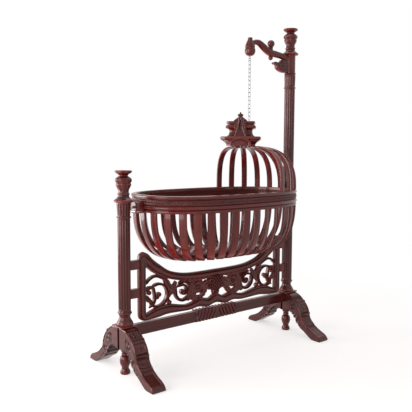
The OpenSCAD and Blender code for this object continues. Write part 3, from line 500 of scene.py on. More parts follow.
print("rim band:", made["moulded_rim_band"], "faces")

# %% [markdown]
# A band of small leaves lies in the frieze. Each pair of leaves makes a chevron, and the chevrons of the
# two halves of a side meet in its middle. It could be a texture, but carving shows at the edge and in the
# light. A half-round strip is raised and lowered by a wave that slants one way above its middle line and
# the other way below it.

# %% Leaf band in the frieze
count, rows, leaf_pairs = 1320, 15, 212
frieze_deep, frieze_mid, frieze_half = 0.36 * rim_t, 0.0345, 0.0148
across = np.linspace(-1, 1, rows)
shares = np.arange(count) / count
lean = np.sign(np.cos(np.radians(rim_angle(shares))))
pitch_leaf = rim_round / leaf_pairs
wave = ((shares * rim_round)[:, None] / pitch_leaf + lean[:, None] * 0.9 * np.abs(across)[None]) % 1
ridge = np.abs(np.sin(pi * wave)) ** 0.7
vein = 1 - 0.55 * np.exp(-(across / 0.09) ** 2)
swell = np.sqrt(1 - (0.93 * across) ** 2)
inset = frieze_deep - 0.0002 - (0.0035 + 0.0055 * ridge * vein[None]) * swell[None]
height = rim_top - frieze_mid + frieze_half * across
front = round_rim(count, inset, height)
back = round_rim(count, [frieze_deep - 0.0001] * 2, height[[-1, 0]])
band = rolled("carved_leaf_band", np.concatenate([front, back], 1), loop=True, angle=60)
finished(band, "cradle", wood_x, "carved_wood", "rim_rope")
print("leaf band:", made["carved_leaf_band"], "faces")

# %% [markdown]
# A bent slat is steamed and bent round a form: a strip whose bend is a quarter of a squared ellipse. It
# is widest at the rim and narrows towards the board, and its long edges are rounded. The same strip,
# turned up, makes a hood rib. A Simple Deform modifier could bend a plank, but only to a part of a
# circle.

# %% Bent strips
def rounded_section(w, t, r=0.0035, angles=(0, 30, 60, 90)):
    """A rectangle w wide and t thick with rounded corners, as (across, out) points."""
    pts = []
    for x, y, a0 in ((w / 2 - r, t / 2 - r, 0), (r - w / 2, t / 2 - r, 90), (r - w / 2, r - t / 2, 180),
                     (w / 2 - r, r - t / 2, 270)):
        pts += [(x + r * cos(radians(a0 + a)), y + r * sin(radians(a0 + a))) for a in angles]
    return np.array(pts)


def bent_strip(name, foot, turn, reach, rise, squareness, widths, thick, z0, down=False, tail=0):
    """A strip from (reach, 0) up or down to (0, rise) in the plane that turns about the point foot."""
    a = np.linspace(0, pi / 2, 44)
    # The steps crowd at one end of the bend, so they are evened out along it
    length = distances(squared_ellipse(a, reach, rise, squareness))
    a = np.interp(np.linspace(0, length[-1], 34), length, a)
    line = squared_ellipse(a, reach, rise, squareness)
    g = away(line, reach, rise, squareness)
    if tail:
        line = np.vstack([line, [-tail, rise]])
        g = np.vstack([g, [0, 1]])
    w = np.interp(line[:, 0], widths[0], widths[1])
    ux, uy = cos(radians(turn)), sin(radians(turn))
    rings = []
    for p, n, wide in zip(line, g, w):
        q = rounded_section(wide, thick)
        r, h = p[0] + n[0] * q[:, 1], p[1] + n[1] * q[:, 1]
        rings.append(np.stack([foot[0] + ux * r - uy * q[:, 0], foot[1] + uy * r + ux * q[:, 0],
                               z0 + (-h if down else h)], -1))
    return rolled(name, rings, angle=50)


print("section of a strip:", len(rounded_section(0.04, 0.012)), "points")

# %% [markdown]
# Thirty-four slats hang from the rim band and pass under the bottom board. They fan out, because the
# board is shorter than the rim. An array round a curve would space them by angle, so their places are
# worked out from the way round the rim and round the board instead. Slats on the two long sides are made
# as mirrored pairs.

# %% Basket slats
slat_count, slat_w, slat_end_w, slat_t, lap = 34, 0.040, 0.029, 0.012, 0.020
bowl_h = 0.258
board_a, board_b = rim_a - 0.200, rim_b - 0.158
whole = np.arange(0, 361.0)
rim_run, board_run = (distances(oval(whole, a, b)) for a, b in ((rim_a, rim_b), (board_a, board_b)))
fan = 0.4 * rim_run / rim_run[-1] + 0.6 * board_run / board_run[-1]


def slat(k):
    """The slat at one of the places round the rim, counted from the head end."""
    t = np.interp(k / slat_count, fan, whole)
    edge = oval(t, rim_a, rim_b)
    top = edge - 0.014 * outward(edge)
    foot = oval(t, board_a, board_b)
    reach = hypot(*(top - foot))
    turn = degrees(atan2(top[1] - foot[1], top[0] - foot[0]))
    squareness = 2.7 - 0.5 * abs(cos(radians(t))) ** 3
    widths = ([-lap, 0.35 * reach, reach], [slat_end_w, slat_w, slat_w])
    return bent_strip("slat", (basket_x + foot[0], foot[1]), turn, reach, bowl_h - slat_t / 2, squareness,
                      widths, slat_t, rim_low, down=True, tail=lap)


half_count = slat_count // 2
finished(joined("bent_slats_at_ends", [slat(0), slat(half_count)]), "cradle", wood_z, "lacquered_wood",
         "slats_at_ends")
for k in range(1, half_count):
    finished(paired("bent_slats_%02d" % k, slat(k), mirror_y), "cradle", wood_z, "lacquered_wood",
             "slats_%02d" % k)
print("slats:", sum(n.startswith("bent_slats") for n in made), "pieces")

# %% [markdown]
# The bottom board is an oval plank with rounded edges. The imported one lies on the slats; this one is let
# down between their ends, as the photograph suggests. A scaled cylinder would do but for the squarer
# oval.

# %% Bottom board
board_low, board_high = rim_low - bowl_h, rim_low - bowl_h + slat_t + 0.0163
edge = oval(np.arange(0, 360, 3.0), board_a, board_b)
rings = []
for inset, z in ((0.010, board_low + 0.001), (0.007, board_low + 0.002), (0.006, board_low + 0.004),
                 (0.006, board_high - 0.004), (0.0072, board_high - 0.0012), (0.010, board_high)):
    ring = edge - inset * outward(edge)
    rings.append(np.stack([basket_x + ring[:, 0], ring[:, 1], np.full(len(edge), z)], -1))
finished(rolled("seated_bottom_board", rings, angle=40), "cradle", wood_x, "lacquered_wood", "bottom_board")
print("bottom board: %.1f mm thick" % (1000 * (board_high - board_low)))

# %% [markdown]
# Eleven ribs rise from the rim's head end and are gathered under the cap. They are the slats' strip
# turned up. Near the cap they would run into each other, so each narrows to just less than its share of
# the circle there.

# %% Hood ribs
dome_x, dome_h, rib_w, rib_t, rib_inner, rib_pitch = 0.168, 0.246, 0.033, 0.012, 0.048, 0.085


def rib_base(k):
    """Where a rib leaves the rim, seen from the dome's middle."""
    edge = oval(rim_angle(k * rib_pitch / rim_round), rim_a, rim_b)
    return edge - 0.011 * outward(edge) - [dome_x, 0]


turns = [degrees(atan2(rib_base(k)[1], rib_base(k)[0])) for k in range(6)]
half_step = radians(min(turns[k] - turns[k - 1] for k in range(1, 6)) / 2)


def rib(k):
    """The middle rib, or one of the five beside it."""
    reach = hypot(*rib_base(k)) - rib_inner
    near = 2 * (rib_inner * tan(half_step) - 0.0003)
    meet = rib_w / 2 / tan(half_step) - rib_inner
    ux, uy = cos(radians(turns[k])), sin(radians(turns[k]))
    return bent_strip("rib", (basket_x + dome_x + rib_inner * ux, rib_inner * uy), turns[k], reach,
                      dome_h - rib_t / 2, 2.45 + 0.15 * k, ([0, meet, reach], [near, rib_w - 0.0006, rib_w]),
                      rib_t, rim_top)


finished(joined("bent_rib_middle", [rib(0)]), "cradle", wood_z, "lacquered_wood", "hood_rib_middle")
for k in range(1, 6):
    finished(paired("bent_ribs_%d" % k, rib(k), mirror_y), "cradle", wood_z, "lacquered_wood",
             "hood_ribs_%d" % k)
print("bent strips:", sum(n.startswith("bent") for n in made), "pieces")

# %% [markdown]
# Posts, finials and feet are turned on a lathe: one profile of radius and height, drawn round the axis.
# Spin would do for a plain turning. The flutes and leaves are carved afterwards, so this helper lets a
# function change the radius by angle and height.

# %% Turned pieces
def turned(name, profile, at, around, carve=None, angle=32):
    """A profile of (radius, height) drawn round an upright axis. carve(angles, height, radius) cuts it."""
    a = np.linspace(0, 2 * pi, around, endpoint=False)
    rings = []
    for r, z in profile:
        cut = r + carve(a, z, r) if carve else r
        ring = (at[0] + cut * np.cos(a), at[1] + cut * np.sin(a), np.full(around, at[2] + z))
        rings.append(np.stack(ring, -1))
    return rolled(name, rings, angle=angle)


post_x, post_r, flute_count = 0.578, 0.031, 14
flute_r = 0.75 * pi * post_r / flute_count


def flutes(*spans):
    """Round flutes that end in half rounds, over spans between two heights."""
    def carve(a, z, r):
        for low, high in spans:
            if low < z < high:
                step = 2 * pi / flute_count
                off = (a / step % 1 - 0.5) * step * r
                end = min(z - low, high - z)
                wide = flute_r if end > flute_r else sqrt(max(0, flute_r ** 2 - (flute_r - end) ** 2))
                return -np.maximum(0, np.sqrt(np.maximum(0, wide ** 2 - off ** 2)) - 0.45 * flute_r)
        return 0
    return carve


def fluted_shaft(low, high, r0, r1, step=0.06):
    """Radii and heights of a fluted stretch, close together at its ends."""
    ends = np.array([0, 0.0012, 0.0025, 0.004, 0.0055])
    middle = np.linspace(low + 0.012, high - 0.012, max(2, int((high - low) / step)))
    return [(np.interp(z, [low, high], [r0, r1]), z) for z in (*(low + ends), *middle, *(high - ends[::-1]))]


print("flute: %.1f mm wide" % (2000 * flute_r))

# %% [markdown]
# Both posts have the same base and the same fluted shaft with a ring under a fluted, slightly flared
# capital. The tall one goes on above it with a plain round top. They could be two profiles, but one
# function keeps them a pair, as the turner would.

# %% Posts
hub_h, short_h, tall_h = 0.250, 0.856, 1.672
short_capital, tall_capital, plain = 0.785, tall_h - 0.189, tall_h - 0.105
base_profile = [(0, 0), (0.041, 0), (0.0425, 0.003), (0.0425, 0.009), (0.0405, 0.012), (0.0395, 0.0145)] \
    + eased_line([(0.0395, 0.0145), (0.036, 0.021), (0.0305, 0.030), (0.0275, 0.040), (0.0272, 0.046)]) \
    + [(0.0295, 0.048), (0.0305, 0.051), (0.0305, 0.054)] \
    + [(0.0325 + 0.0035 * sin(a), 0.0605 - 0.0045 * cos(a)) for a in np.linspace(0.3, pi - 0.3, 7)] \
    + [(0.0318, 0.068), (0.031, 0.072)]


def ring_at(z, r=0.0365, h=0.0042):
    """A half-round ring on the post."""
    return [(post_r + (r - post_r) * sin(a), z - h * cos(a)) for a in np.linspace(0, pi, 8)]


def capital_span(z):
    """The fluted stretch over a ring."""
    return z + 0.006, z + 0.067


def post(name, x, capital, top):
    """A whole post: base, fluted shaft, ring, and what comes above it."""
    shaft = (hub_h + 0.076, capital - 0.006)
    line = [(r, hub_h + z) for r, z in base_profile] + fluted_shaft(*shaft, post_r, post_r)
    line += ring_at(capital) + top
    one = turned(name, line, (x, 0, 0), 14 * flute_count, flutes(shaft, capital_span(capital)), angle=50)
    finished(one, "stand", wood_z, "lacquered_wood", name.replace("turned_", ""))


top = fluted_shaft(*capital_span(short_capital), post_r, 0.0348) + [(0.0348, short_h), (0, short_h)]
post("turned_short_post", -post_x, short_capital, top)
top = fluted_shaft(*capital_span(tall_capital), post_r, 0.0329) + [(0.033, plain - 0.006)] \
    + ring_at(plain, 0.0357, 0.003) + [(0.031, plain + 0.005), (0.031, tall_h), (0, tall_h)]
post("turned_tall_post", post_x, tall_capital, top)
print("posts:", made["turned_short_post"], "and", made["turned_tall_post"], "faces")

# %% [markdown]
# The finial sits on a saucer. Over a short neck swells a bulb wrapped in carved leaves, and a dished cup
# with a leafy edge opens on top. The leaves are eight soft lobes that lean as they rise. They could be
# sculpted one by one, but at this size a wave in the radius looks the same, and it closes round the bulb
# by itself.

# %% Finials
finial_r, finial_h = 0.0485, 0.158
low_part = [(0, 0), (0.72, 0), (0.93, 0.015), (1, 0.045), (1, 0.06), (0.95, 0.085), (0.84, 0.11),
            (0.72, 0.135), (0.62, 0.165), (0.57, 0.2), (0.56, 0.235), (0.6, 0.245), (0.62, 0.265),
            (0.6, 0.285), (0.56, 0.295)]
bulb = eased_line([(0.56, 0.295), (0.53, 0.34), (0.56, 0.40), (0.66, 0.46), (0.76, 0.53), (0.77, 0.57),
                   (0.73, 0.6), (0.8, 0.635), (0.86, 0.69), (0.81, 0.74), (0.65, 0.785), (0.48, 0.815),
                   (0.46, 0.84)], 5)
cup = eased_line([(0.46, 0.84), (0.54, 0.865), (0.7, 0.895), (0.84, 0.93), (0.88, 0.955)]) \
    + [(0.87, 0.975), (0.82, 0.988), (0.74, 0.985), (0.6, 0.972), (0.4, 0.965), (0, 0.96)]
finial_line = [(r * finial_r, z * finial_h) for r, z in low_part + bulb[1:] + cup[1:]]


def leafy(a, z, r):
    """Leaves round the bulb, and a notched edge on the cup."""
    s = z / finial_h
    if 0.33 < s < 0.8:
        lobes = 0.5 + 0.5 * np.cos(8 * a + 9 * s)
        return -0.0032 * sin(pi * (s - 0.33) / 0.47) ** 0.6 * (1 - lobes ** 0.6)
    if 0.87 < s < 0.985:
        return -0.0028 * (1 - np.abs(np.cos(4 * a)) ** 0.5)
    return 0


one = turned("turned_finial_short_post", finial_line, (-post_x, 0, short_h), 96, leafy)
two = copied(one, "turned_finial_tall_post", Matrix.Translation((2 * post_x, 0, tall_h - short_h)))
finished(one, "stand", carved, "carved_wood", "finial_short_post")
finished(two, "stand", carved, "carved_wood", "finial_tall_post")
print("finial:", len(finial_line), "rings")

# %% [markdown]
# Under each hub hangs a turned foot: a pear shape on a small heel, with two rings at its neck. It is the
# same work as a finial, and the two feet are one piece, because they never part.

# %% Turned feet under the hubs
foot_r, foot_h = 0.033, 0.130
foot_line = [(0, 0), (0.68, 0), (0.75, 0.015), (0.77, 0.04), (0.77, 0.09), (0.73, 0.12)] \
    + eased_line([(0.72, 0.13), (0.62, 0.17), (0.54, 0.23), (0.6, 0.3), (0.73, 0.37), (0.82, 0.45),
                  (0.83, 0.52), (0.78, 0.62), (0.64, 0.69), (0.47, 0.72)], 5) \
    + [(0.46, 0.735), (0.47, 0.75), (0.53, 0.757), (0.55, 0.775), (0.55, 0.8), (0.53, 0.817), (0.47, 0.825),
       (0.46, 0.85), (0.5, 0.87), (0.62, 0.885), (0.68, 0.91), (0.69, 0.94), (0.69, 1), (0, 1)]
foot_line = [(r * foot_r, z * foot_h) for r, z in foot_line]
one = turned("foot", foot_line, (-post_x, 0, 0), 64)
pair = paired("turned_feet_pair", one, Matrix.Translation((2 * post_x, 0, 0)))
finished(pair, "stand", wood_z, "carved_wood", "turned_feet")
print("turned:", [n for n in made if n.startswith("turned")])

# %% [markdown]
# The pierced panel hangs between the posts. Its frame is one moulding that runs all the way round: up
# over the horns at the top corners, down the stiles and along the waving bottom rail. Four lines guide
# it: the upper and the lower edge of each rail, drawn from the middle to one end, because both ends are
# alike.

# %% The panel's lines
panel_half, panel_x, inner_half = 0.502, 0.003, 0.462
panel_low, panel_mid, horn_h = 0.250, 0.457, 0.145
carve_h = panel_mid - panel_low
wave_h = 0.34 * carve_h


def share_line(points, z0, h, last=None):
    """Points in shares of the panel's half and of a height, smoothed to a height at any distance."""
    p = [(x * panel_half, z0 + z * h) for x, z in points] + ([last] if last else [])
    line = curve([(-x, z) for x, z in p[:0:-1]] + p)
    return lambda x: float(np.interp(x, line[:, 0], line[:, 1]))


top_hi = share_line([(0, 0), (0.2, 0), (0.38, 0.02), (0.51, 0.09), (0.64, 0.235), (0.763, 0.52),
                     (0.84, 0.73), (0.885, 0.9)],
                    panel_mid, horn_h, (inner_half, panel_mid + 0.97 * horn_h))
top_lo = share_line([(0, -0.3), (0.24, -0.29), (0.47, -0.22), (0.64, -0.08), (0.763, 0.1), (0.84, 0.25)],
                    panel_mid, horn_h, (inner_half, panel_mid + 0.48 * horn_h))
low_hi = share_line([(0, 1.05), (0.09, 0.74), (0.16, 0.8), (0.23, 0.92), (0.3, 0.72), (0.4, 0.58),
                     (0.5, 0.68), (0.62, 0.86), (0.75, 0.86), (0.84, 0.66), (0.92, 0.42)], panel_low, wave_h)
low_lo = share_line([(0, 0.26), (0.13, 0.06), (0.25, 0.2), (0.38, 0.1), (0.64, 0.15), (0.77, 0.04),
                     (0.87, 0)], panel_low, wave_h, (0.94 * panel_half, panel_low))
print("panel opening: %.3f m high in the middle" % (top_lo(0) - low_hi(0)))

# %% [markdown]
# Each ring of the frame lies between a point of its outer line and a point of its inner line, and the
# same moulding is stretched over all of them. A curve with a bevel would keep one width, but the real
# rails swell.

# %% Panel frame
horn_r, horn_top = 0.030, panel_mid + horn_h
inner_top, inner_foot = top_lo(inner_half) - 0.008, low_hi(inner_half) + 0.006


def corner(a, z):
    """A point of the rounded outer corner, at an angle in degrees."""
    return panel_half - horn_r + horn_r * cos(radians(a)), z + horn_r * sin(radians(a))


pairs = [((x, top_hi(x)), (x, top_lo(x))) for x in np.linspace(0, inner_half - 0.006, 70)]
for a in np.linspace(90, 0, 10):
    f = (90 - a) / 90
    pairs.append((corner(a, horn_top - horn_r), (inner_half - 0.006 * (1 - f), inner_top + 0.008 * (1 - f))))
for f in np.linspace(0.03, 0.97, 24):
    outer_z = horn_top - horn_r - f * (horn_top - horn_r - panel_low - horn_r)
    pairs.append(((panel_half, outer_z), (inner_half, inner_top - f * (inner_top - inner_foot))))
for a in np.linspace(0, -90, 10):
    f = -a / 90
    pairs.append((corner(a, panel_low + horn_r), (inner_half - 0.006 * f, inner_foot - 0.006 * f)))
pairs += [((x, low_lo(x)), (x, low_hi(x))) for x in np.linspace(inner_half - 0.012, 0, 70)]
other_end = [((-a[0], a[1]), (-b[0], b[1])) for a, b in pairs[-2:0:-1]]
# Shares of the way from the outer line to the inner one, and depths in millimetres
moulding = [(0, 7), (0.02, 11), (0.07, 13.6), (0.13, 13.6), (0.18, 10.8), (0.24, 10.2), (0.28, 13),
            (0.35, 15.8), (0.44, 17), (0.54, 17), (0.63, 15.8), (0.70, 13), (0.74, 10.2), (0.80, 10.8),
            (0.86, 13.4), (0.93, 13.4), (0.98, 11), (1, 7)]
rings = []
for outer, inner in pairs + other_end:
    o, i = np.array(outer), np.array(inner)
    face = [(*(o + v * (i - o)), -d / 1000) for v, d in moulding]
    face += [(x, z, -y) for x, z, y in face[::-1]]
    rings.append([(panel_x + x, y, z) for x, z, y in face])
finished(rolled("moulded_panel_frame", rings, loop=True, angle=40), "stand", wood_x, "lacquered_wood",
         "panel_top_rail", "panel_bottom_rail", "panel_stile_foot_end", "panel_stile_head_end")
print("panel frame:", len(rings), "rings of", len(rings[0]), "points")

# %% [markdown]
# The scrollwork is carved from a board: C-scrolls that wind in to a bud, stems, and leaves that fill the
# gaps. A scroll or a stem is a band with two ridges and a hollow between them, drawn along its line. A
# pierced board with a bump texture would look flat from the side, so each band is a solid of its own, the
# same on its front and its back.

# %% Carved bands
hollow = np.array([(-1, 0.2), (-0.94, 0.62), (-0.78, 0.95), (-0.58, 1.0), (-0.36, 0.68), (-0.14, 0.36),
                   (0.14, 0.36), (0.36, 0.68), (0.58, 1.0), (0.78, 0.95), (0.94, 0.62), (1, 0.2)])


def both_faces(x, y, z):
    """A ring that goes over the front, at depths y, and comes back over the same form behind."""
    front = np.stack([x, -y, z], -1)
    return np.concatenate([front, (front * [1, -1, 1])[::-1]])


def carved_band(line, wide, deep=0.009):
    """A carved band along a line of (x, z) points. wide is its width at each, deep half its thickness."""
    line, wide = np.asarray(line, float), np.asarray(wide, float)
    d = np.gradient(line, axis=0)
    d /= np.linalg.norm(d, axis=1, keepdims=True)
    n = len(line)
    taper = np.minimum(1, 0.35 + 0.65 * np.minimum(np.arange(n), np.arange(n)[::-1]) / 3)
    rings = []
    for p, q, w, k in zip(line, d, wide, taper):
        s = hollow[:, 0] * w / 2 * k
        h = hollow[:, 1] * deep * (0.55 + 0.45 * w / wide.max()) * k
        rings.append(both_faces(p[0] - q[1] * s, h, p[1] + q[0] * s))
    return rolled("band", rings, angle=50)


def winding(c, r0, r1, a0, a1, w0, w1, ease, step=9):
    """The line and the widths of a band that winds in round a centre. r0 and r1 are (sideways, upwards)."""
    s = np.linspace(0, 1, int(abs(a1 - a0) / step))
    a = np.radians(a0 + (a1 - a0) * s)
    r = np.array(r0) + np.outer(s ** ease, np.array(r1) - np.array(r0))
    return np.stack([c[0] + r[:, 0] * np.cos(a), c[1] + r[:, 1] * np.sin(a)], -1), w0 + (w1 - w0) * s


print("a carved band has", 2 * len(hollow), "points round it")

# %% [markdown]
# A leaf is a small mound with a vein and lobes, and a bud is a round knob with an eye. They could be
# sculpted, but there are dozens of leaves, so one helper lays a leaf between two places and draws its
# lobes with a wave along its edge.

# %% Leaves and buds
def leaf(p, q, wide, deep, bend, lobes=4):
    """A carved leaf from p to q in the plane of the panel."""
    p, q = np.array(p, float), np.array(q, float)
    length = np.linalg.norm(q - p)
    d = (q - p) / length
    n = np.array([-d[1], d[0]])
    v = np.linspace(-1, 1, 13)
    rings = []
    for u in np.linspace(0, 1, 8 * lobes + 1):
        body = max(0.02, sin(pi * min(1, 0.08 + 0.92 * u) ** 0.85)) ** 0.75
        half = wide * body * (1 - 0.2 * (0.5 - 0.5 * cos(2 * pi * lobes * u)) * (0.3 + 0.7 * u))
        mid = p + d * length * u + n * bend * length * sin(pi * u)
        mound = (0.25 + 0.75 * body) * (0.35 + 0.65 * np.sqrt(1 - 0.96 * v ** 2))
        vein = 0.45 * np.exp(-(v / 0.13) ** 2)
        folds = 0.30 * (0.5 + 0.5 * np.cos(2 * pi * (lobes * u - 0.8 * np.abs(v)))) * np.abs(v)
        h = deep * mound - deep * body * (vein + folds)
        rings.append(both_faces(mid[0] + n[0] * half * v, h, mid[1] + n[1] * half * v))
    return rolled("leaf", rings, angle=60)


def bud(c, r, deep=0.0105):
    """A round bud with a small eye."""
    a = np.linspace(0, 2 * pi, 20, endpoint=False)
    line = [(0.0, 0.86), (0.2, 0.84), (0.34, 0.7), (0.42, 0.84), (0.62, 1.0), (0.84, 0.86), (0.97, 0.5),
            (1.0, 0)]
    front = [np.stack([c[0] + r * s * np.cos(a), np.full(20, -deep * h), c[1] + r * s * np.sin(a)], -1)
             for s, h in line]
    return rolled("bud", front + [f * [1, -1, 1] for f in front[-2::-1]], angle=60)


print("carving helpers:", [f.__name__ for f in (carved_band, leaf, bud)])

# %% [markdown]
# One half of the scrollwork is made, and its mirror image serves the other end. Its places could be given
# in metres. They are given in shares of the half panel's width and of the carved height, so that the
# pattern is read like a drawing on squared paper.

# %% Places on the half panel
def part(x, z):
    """A size given in shares of the half panel."""
    return (x * inner_half, z * carve_h)


def spot(x, z):
    """A place given in shares of the half panel."""
    return (x * inner_half, panel_low + z * carve_h)


def stem(points, w0, w1):
    """A carved band along a few places."""
    line = curve([spot(*p) for p in points])
    return carved_band(line, np.linspace(w0, w1, len(line)))


def leaf_at(x0, z0, x1, z1, wide, deep, bend, lobes=4):
    """A leaf from one place to another."""
    return leaf(spot(x0, z0), spot(x1, z1), wide, deep, bend, lobes)


print("half panel: %.0f by %.0f mm" % tuple(1000 * c for c in part(1, 1)))

# %% [markdown]
# From the stile to the middle come three scrolls: an open ring, a ring with a curl in it, and a leafy
# curl. A ring and a curl could be one band, but the real ring runs on at its full width beside the
# narrower curl, so they are two.

# %% Three scrolls
big, second, third = spot(0.833, 0.575), spot(0.49, 0.565), spot(0.27, 0.6)
parts = [
    carved_band(*winding(big, part(0.131, 0.293), part(0.122, 0.273), -28, -318, 0.016, 0.015, 1), 0.0095),
    carved_band(*winding(second, part(0.11, 0.247), part(0.105, 0.235), 55, 395, 0.020, 0.018, 1), 0.0095),
    carved_band(*winding(second, part(0.105, 0.235), part(0.018, 0.04), 390, 780, 0.016, 0.010, 0.5), 0.010),
    carved_band(*winding(third, part(0.088, 0.2), part(0.018, 0.045), -75, 420, 0.032, 0.018, 1.3), 0.0095),
]
print("scrolls:", len(parts), "bands")

# %% [markdown]
# Stems and leaves fill what the scrolls leave open: an arch and two crossed leaves by the first ring, a
# branch inside it, and a fan of leaves that leads to the rosette. Each could hang free, but in a pierced
# board they hold each other, so every one runs into its neighbours.

# %% Stems and leaves
parts += [
    # The arch over the first ring, and the leaves crossed beside it
    stem([(1.01, 0.86), (0.95, 1), (0.87, 1.06), (0.78, 0.99), (0.69, 0.87)], 0.014, 0.018),
    leaf_at(0.75, 0.99, 0.585, 0.48, 0.019, 0.011, 0.04),
    leaf_at(0.585, 0.84, 0.735, 0.40, 0.017, 0.0105, -0.05),
    stem([(0.7, 0.52), (0.7, 0.43), (0.68, 0.36)], 0.015, 0.012),
    # Stems and leaves inside the first ring
    stem([(0.905, 0.85), (0.885, 0.68), (0.875, 0.52), (0.89, 0.4), (0.95, 0.28)], 0.013, 0.016),
    stem([(0.885, 0.52), (0.85, 0.5), (0.815, 0.55)], 0.012, 0.013),
    leaf_at(1, 0.73, 0.885, 0.79, 0.012, 0.010, -0.1, 3),
    leaf_at(1, 0.61, 0.895, 0.41, 0.014, 0.010, 0.1),
    # Leaves that fill the way to the rosette
    leaf_at(0.42, 0.28, 0.355, 0.92, 0.019, 0.0105, 0.04, 5),
    leaf_at(0.31, 0.22, 0.36, 0.68, 0.017, 0.0105, -0.04),
    leaf_at(0.41, 0.36, 0.19, 0.34, 0.016, 0.010, 0.05),
    leaf_at(0.24, 0.28, 0.12, 0.68, 0.018, 0.0105, 0.05),
    leaf_at(0.25, 0.54, 0.07, 0.77, 0.023, 0.0105, 0.04, 5),
    leaf_at(0.25, 0.63, 0.05, 0.45, 0.016, 0.010, -0.04),
    stem([(0.49, 0.87), (0.36, 0.84), (0.22, 0.83), (0.07, 0.85)], 0.026, 0.026),
]
print("stems and leaves:", len(parts) - 4)

# %% [markdown]
# Last come the buds and a row of small leaves. Then the half is joined, and the other half is its mirror
# image. The whole carving could be raised with a bump, but cutting it deeper is what makes its ridges
# catch the light.

# %% Buds, and both halves
# Buds at the ends of stems and scrolls, with a flat one under the leafy curl
for place, r in ((spot(0.68, 0.34), 0.012), (spot(0.822, 0.585), 0.013), (spot(0.955, 0.67), 0.0125),
                 (second, 0.010), (third, 0.010)):
    parts.append(bud(place, r))
parts.append(bud(third, 0.036, 0.006))
# A row of small leaves hangs from the last stem
for k in range(6):
    parts.append(leaf_at(0.48 - 0.07 * k, 0.92, 0.45 - 0.07 * k, 0.76, 0.011, 0.0115, 0.06, 2))
half = joined("carved_scrolls_head_half", parts)
cut_deeper = 1.35
half.data.transform(Matrix.Scale(cut_deeper, 4, (0, 1, 0)))
twin = copied(half, "carved_scrolls_foot_half", mirror_x)
for o, node in ((half, "scrollwork_head_half"), (twin, "scrollwork_foot_half")):
    o.data.transform(Matrix.Translation((panel_x, 0, 0)))
    finished(o, "stand", carved, "carved_wood", node)
print("scrollwork:", made["carved_scrolls_head_half"], "faces in one half")

# %% [markdown]
# In the middle sits a rosette: a round boss cut with crossing furrows, inside a raised rim. A square grid
# is rounded to a disc, so that the furrows can cross at right angles, which rings about a centre would
# not allow. It stands on a short stem between two leaves.

# %% Rosette with a diamond pattern
rosette_r, rosette_z = 0.25 * carve_h, panel_low + 0.65 * carve_h
u, v = np.meshgrid(np.linspace(-1, 1, 57), np.linspace(-1, 1, 57))
disc_x, disc_z = u * np.sqrt(1 - v * v / 2), v * np.sqrt(1 - u * u / 2)
far = np.clip(np.sqrt(disc_x ** 2 + disc_z ** 2), 0, 1)
furrows = [np.abs(np.sin(pi * 2.5 * (disc_x + way * disc_z))) for way in (1, -1)]
relief = 0.0100 * np.sqrt(np.clip(1 - far ** 6, 0, 1)) + 0.0035 * (1 - far ** 2)
relief += 0.0080 * np.minimum(*furrows) ** 0.7 * (far < 0.78) + 0.006 * np.exp(-((far - 0.89) / 0.06) ** 2)
relief *= 1.15
relief[far > 0.995] = 0
face = np.stack([panel_x + rosette_r * disc_x, -relief, rosette_z + rosette_r * disc_z], -1)
one = rolled("rosette", face, tube=False, angle=60)
rise = np.linspace(0.25, 1, 8)
parts = [one, copied(one, "rosette_back", mirror_y),
         carved_band([(panel_x, panel_low + f * (rosette_z - panel_low)) for f in rise], np.full(8, 0.015))]
for way in (-1, 1):
    parts.append(leaf((panel_x + way * 0.006, panel_low + 0.14 * carve_h),
                      (panel_x + way * 0.030, rosette_z - 0.2 * carve_h), 0.012, 0.0105, way * 0.1))
rose = tidy(joined("rosette_with_stem", parts), 60)
finished(rose, "stand", carved, "carved_wood", "panel_rosette")
print("rosette: %.0f mm across" % (2000 * rosette_r))

# %% [markdown]
# The stretcher is a bar with rounded arrises. In its middle it swells into carved gadroons, which lean
# away from a small leaf in the centre. A bar could be a bevelled cube, but the carving needs many rings
# along it, so the rings are few at the plain ends and close together in the middle.

# %% Stretcher
stretch_half, bar_h, bar_t, bar_top = post_x - 0.038 - 0.0001, 0.059, 0.036, 0.242
carved_half, lobe_pitch, lobe_h = 0.27 * stretch_half, 0.0235, 0.0115
corners = rounded_section(bar_t, bar_h, 0.006, (0, 22, 45, 68, 90))
section = []
for p, q in zip(corners, np.roll(corners, -1, axis=0)):
    steps = 16 if hypot(*(q - p)) > 0.015 else 1
    section += [p + (q - p) * k / steps for k in range(steps)]
section = np.array(section)
z = section[:, 1] / (bar_h / 2)
xs = np.concatenate([np.linspace(-stretch_half, -carved_half - 0.004, 12),
                     np.linspace(-carved_half, carved_half, 240),
                     np.linspace(carved_half + 0.004, stretch_half, 12)])
rings = []
for x in xs:
    lift = np.zeros(len(section))
    if abs(x) < carved_half:
        end = min(1, (carved_half - abs(x)) / 0.006) ** 0.5
        lobes = np.abs(np.sin(pi * (np.abs(x) / lobe_pitch + 0.6 * z))) ** 0.6
        centre = np.exp(-(x / 0.012) ** 2)
        lift = end * (-0.003 + lobe_h * lobes * (1 - centre) + lobe_h * centre)
    side = np.sign(section[:, 0]) * (np.abs(z) < 0.999) * lift * np.sqrt(np.clip(1 - (0.8 * z) ** 6, 0, 1))
    rise = (z > 0.93) * lift * 0.7
    rings.append(np.stack([np.full(len(section), x), section[:, 0] + side,
                           bar_top - bar_h / 2 + section[:, 1] + rise], -1))
finished(rolled("carved_stretcher", rings, angle=40), "stand", wood_x, "lacquered_wood", "stretcher")
print("stretcher:", made["carved_stretcher"], "faces")

# %% [markdown]
# A leg is a thick scrolled bracket. Its back falls in an S from the hub to the toe, and its underside
# leaves the hub level, falls beside the back and runs out along the floor. Sculpting would be the natural
# way, but four equal legs come out cleaner when the form is worked out for each place along and across
# one of them. Its two lines come first.

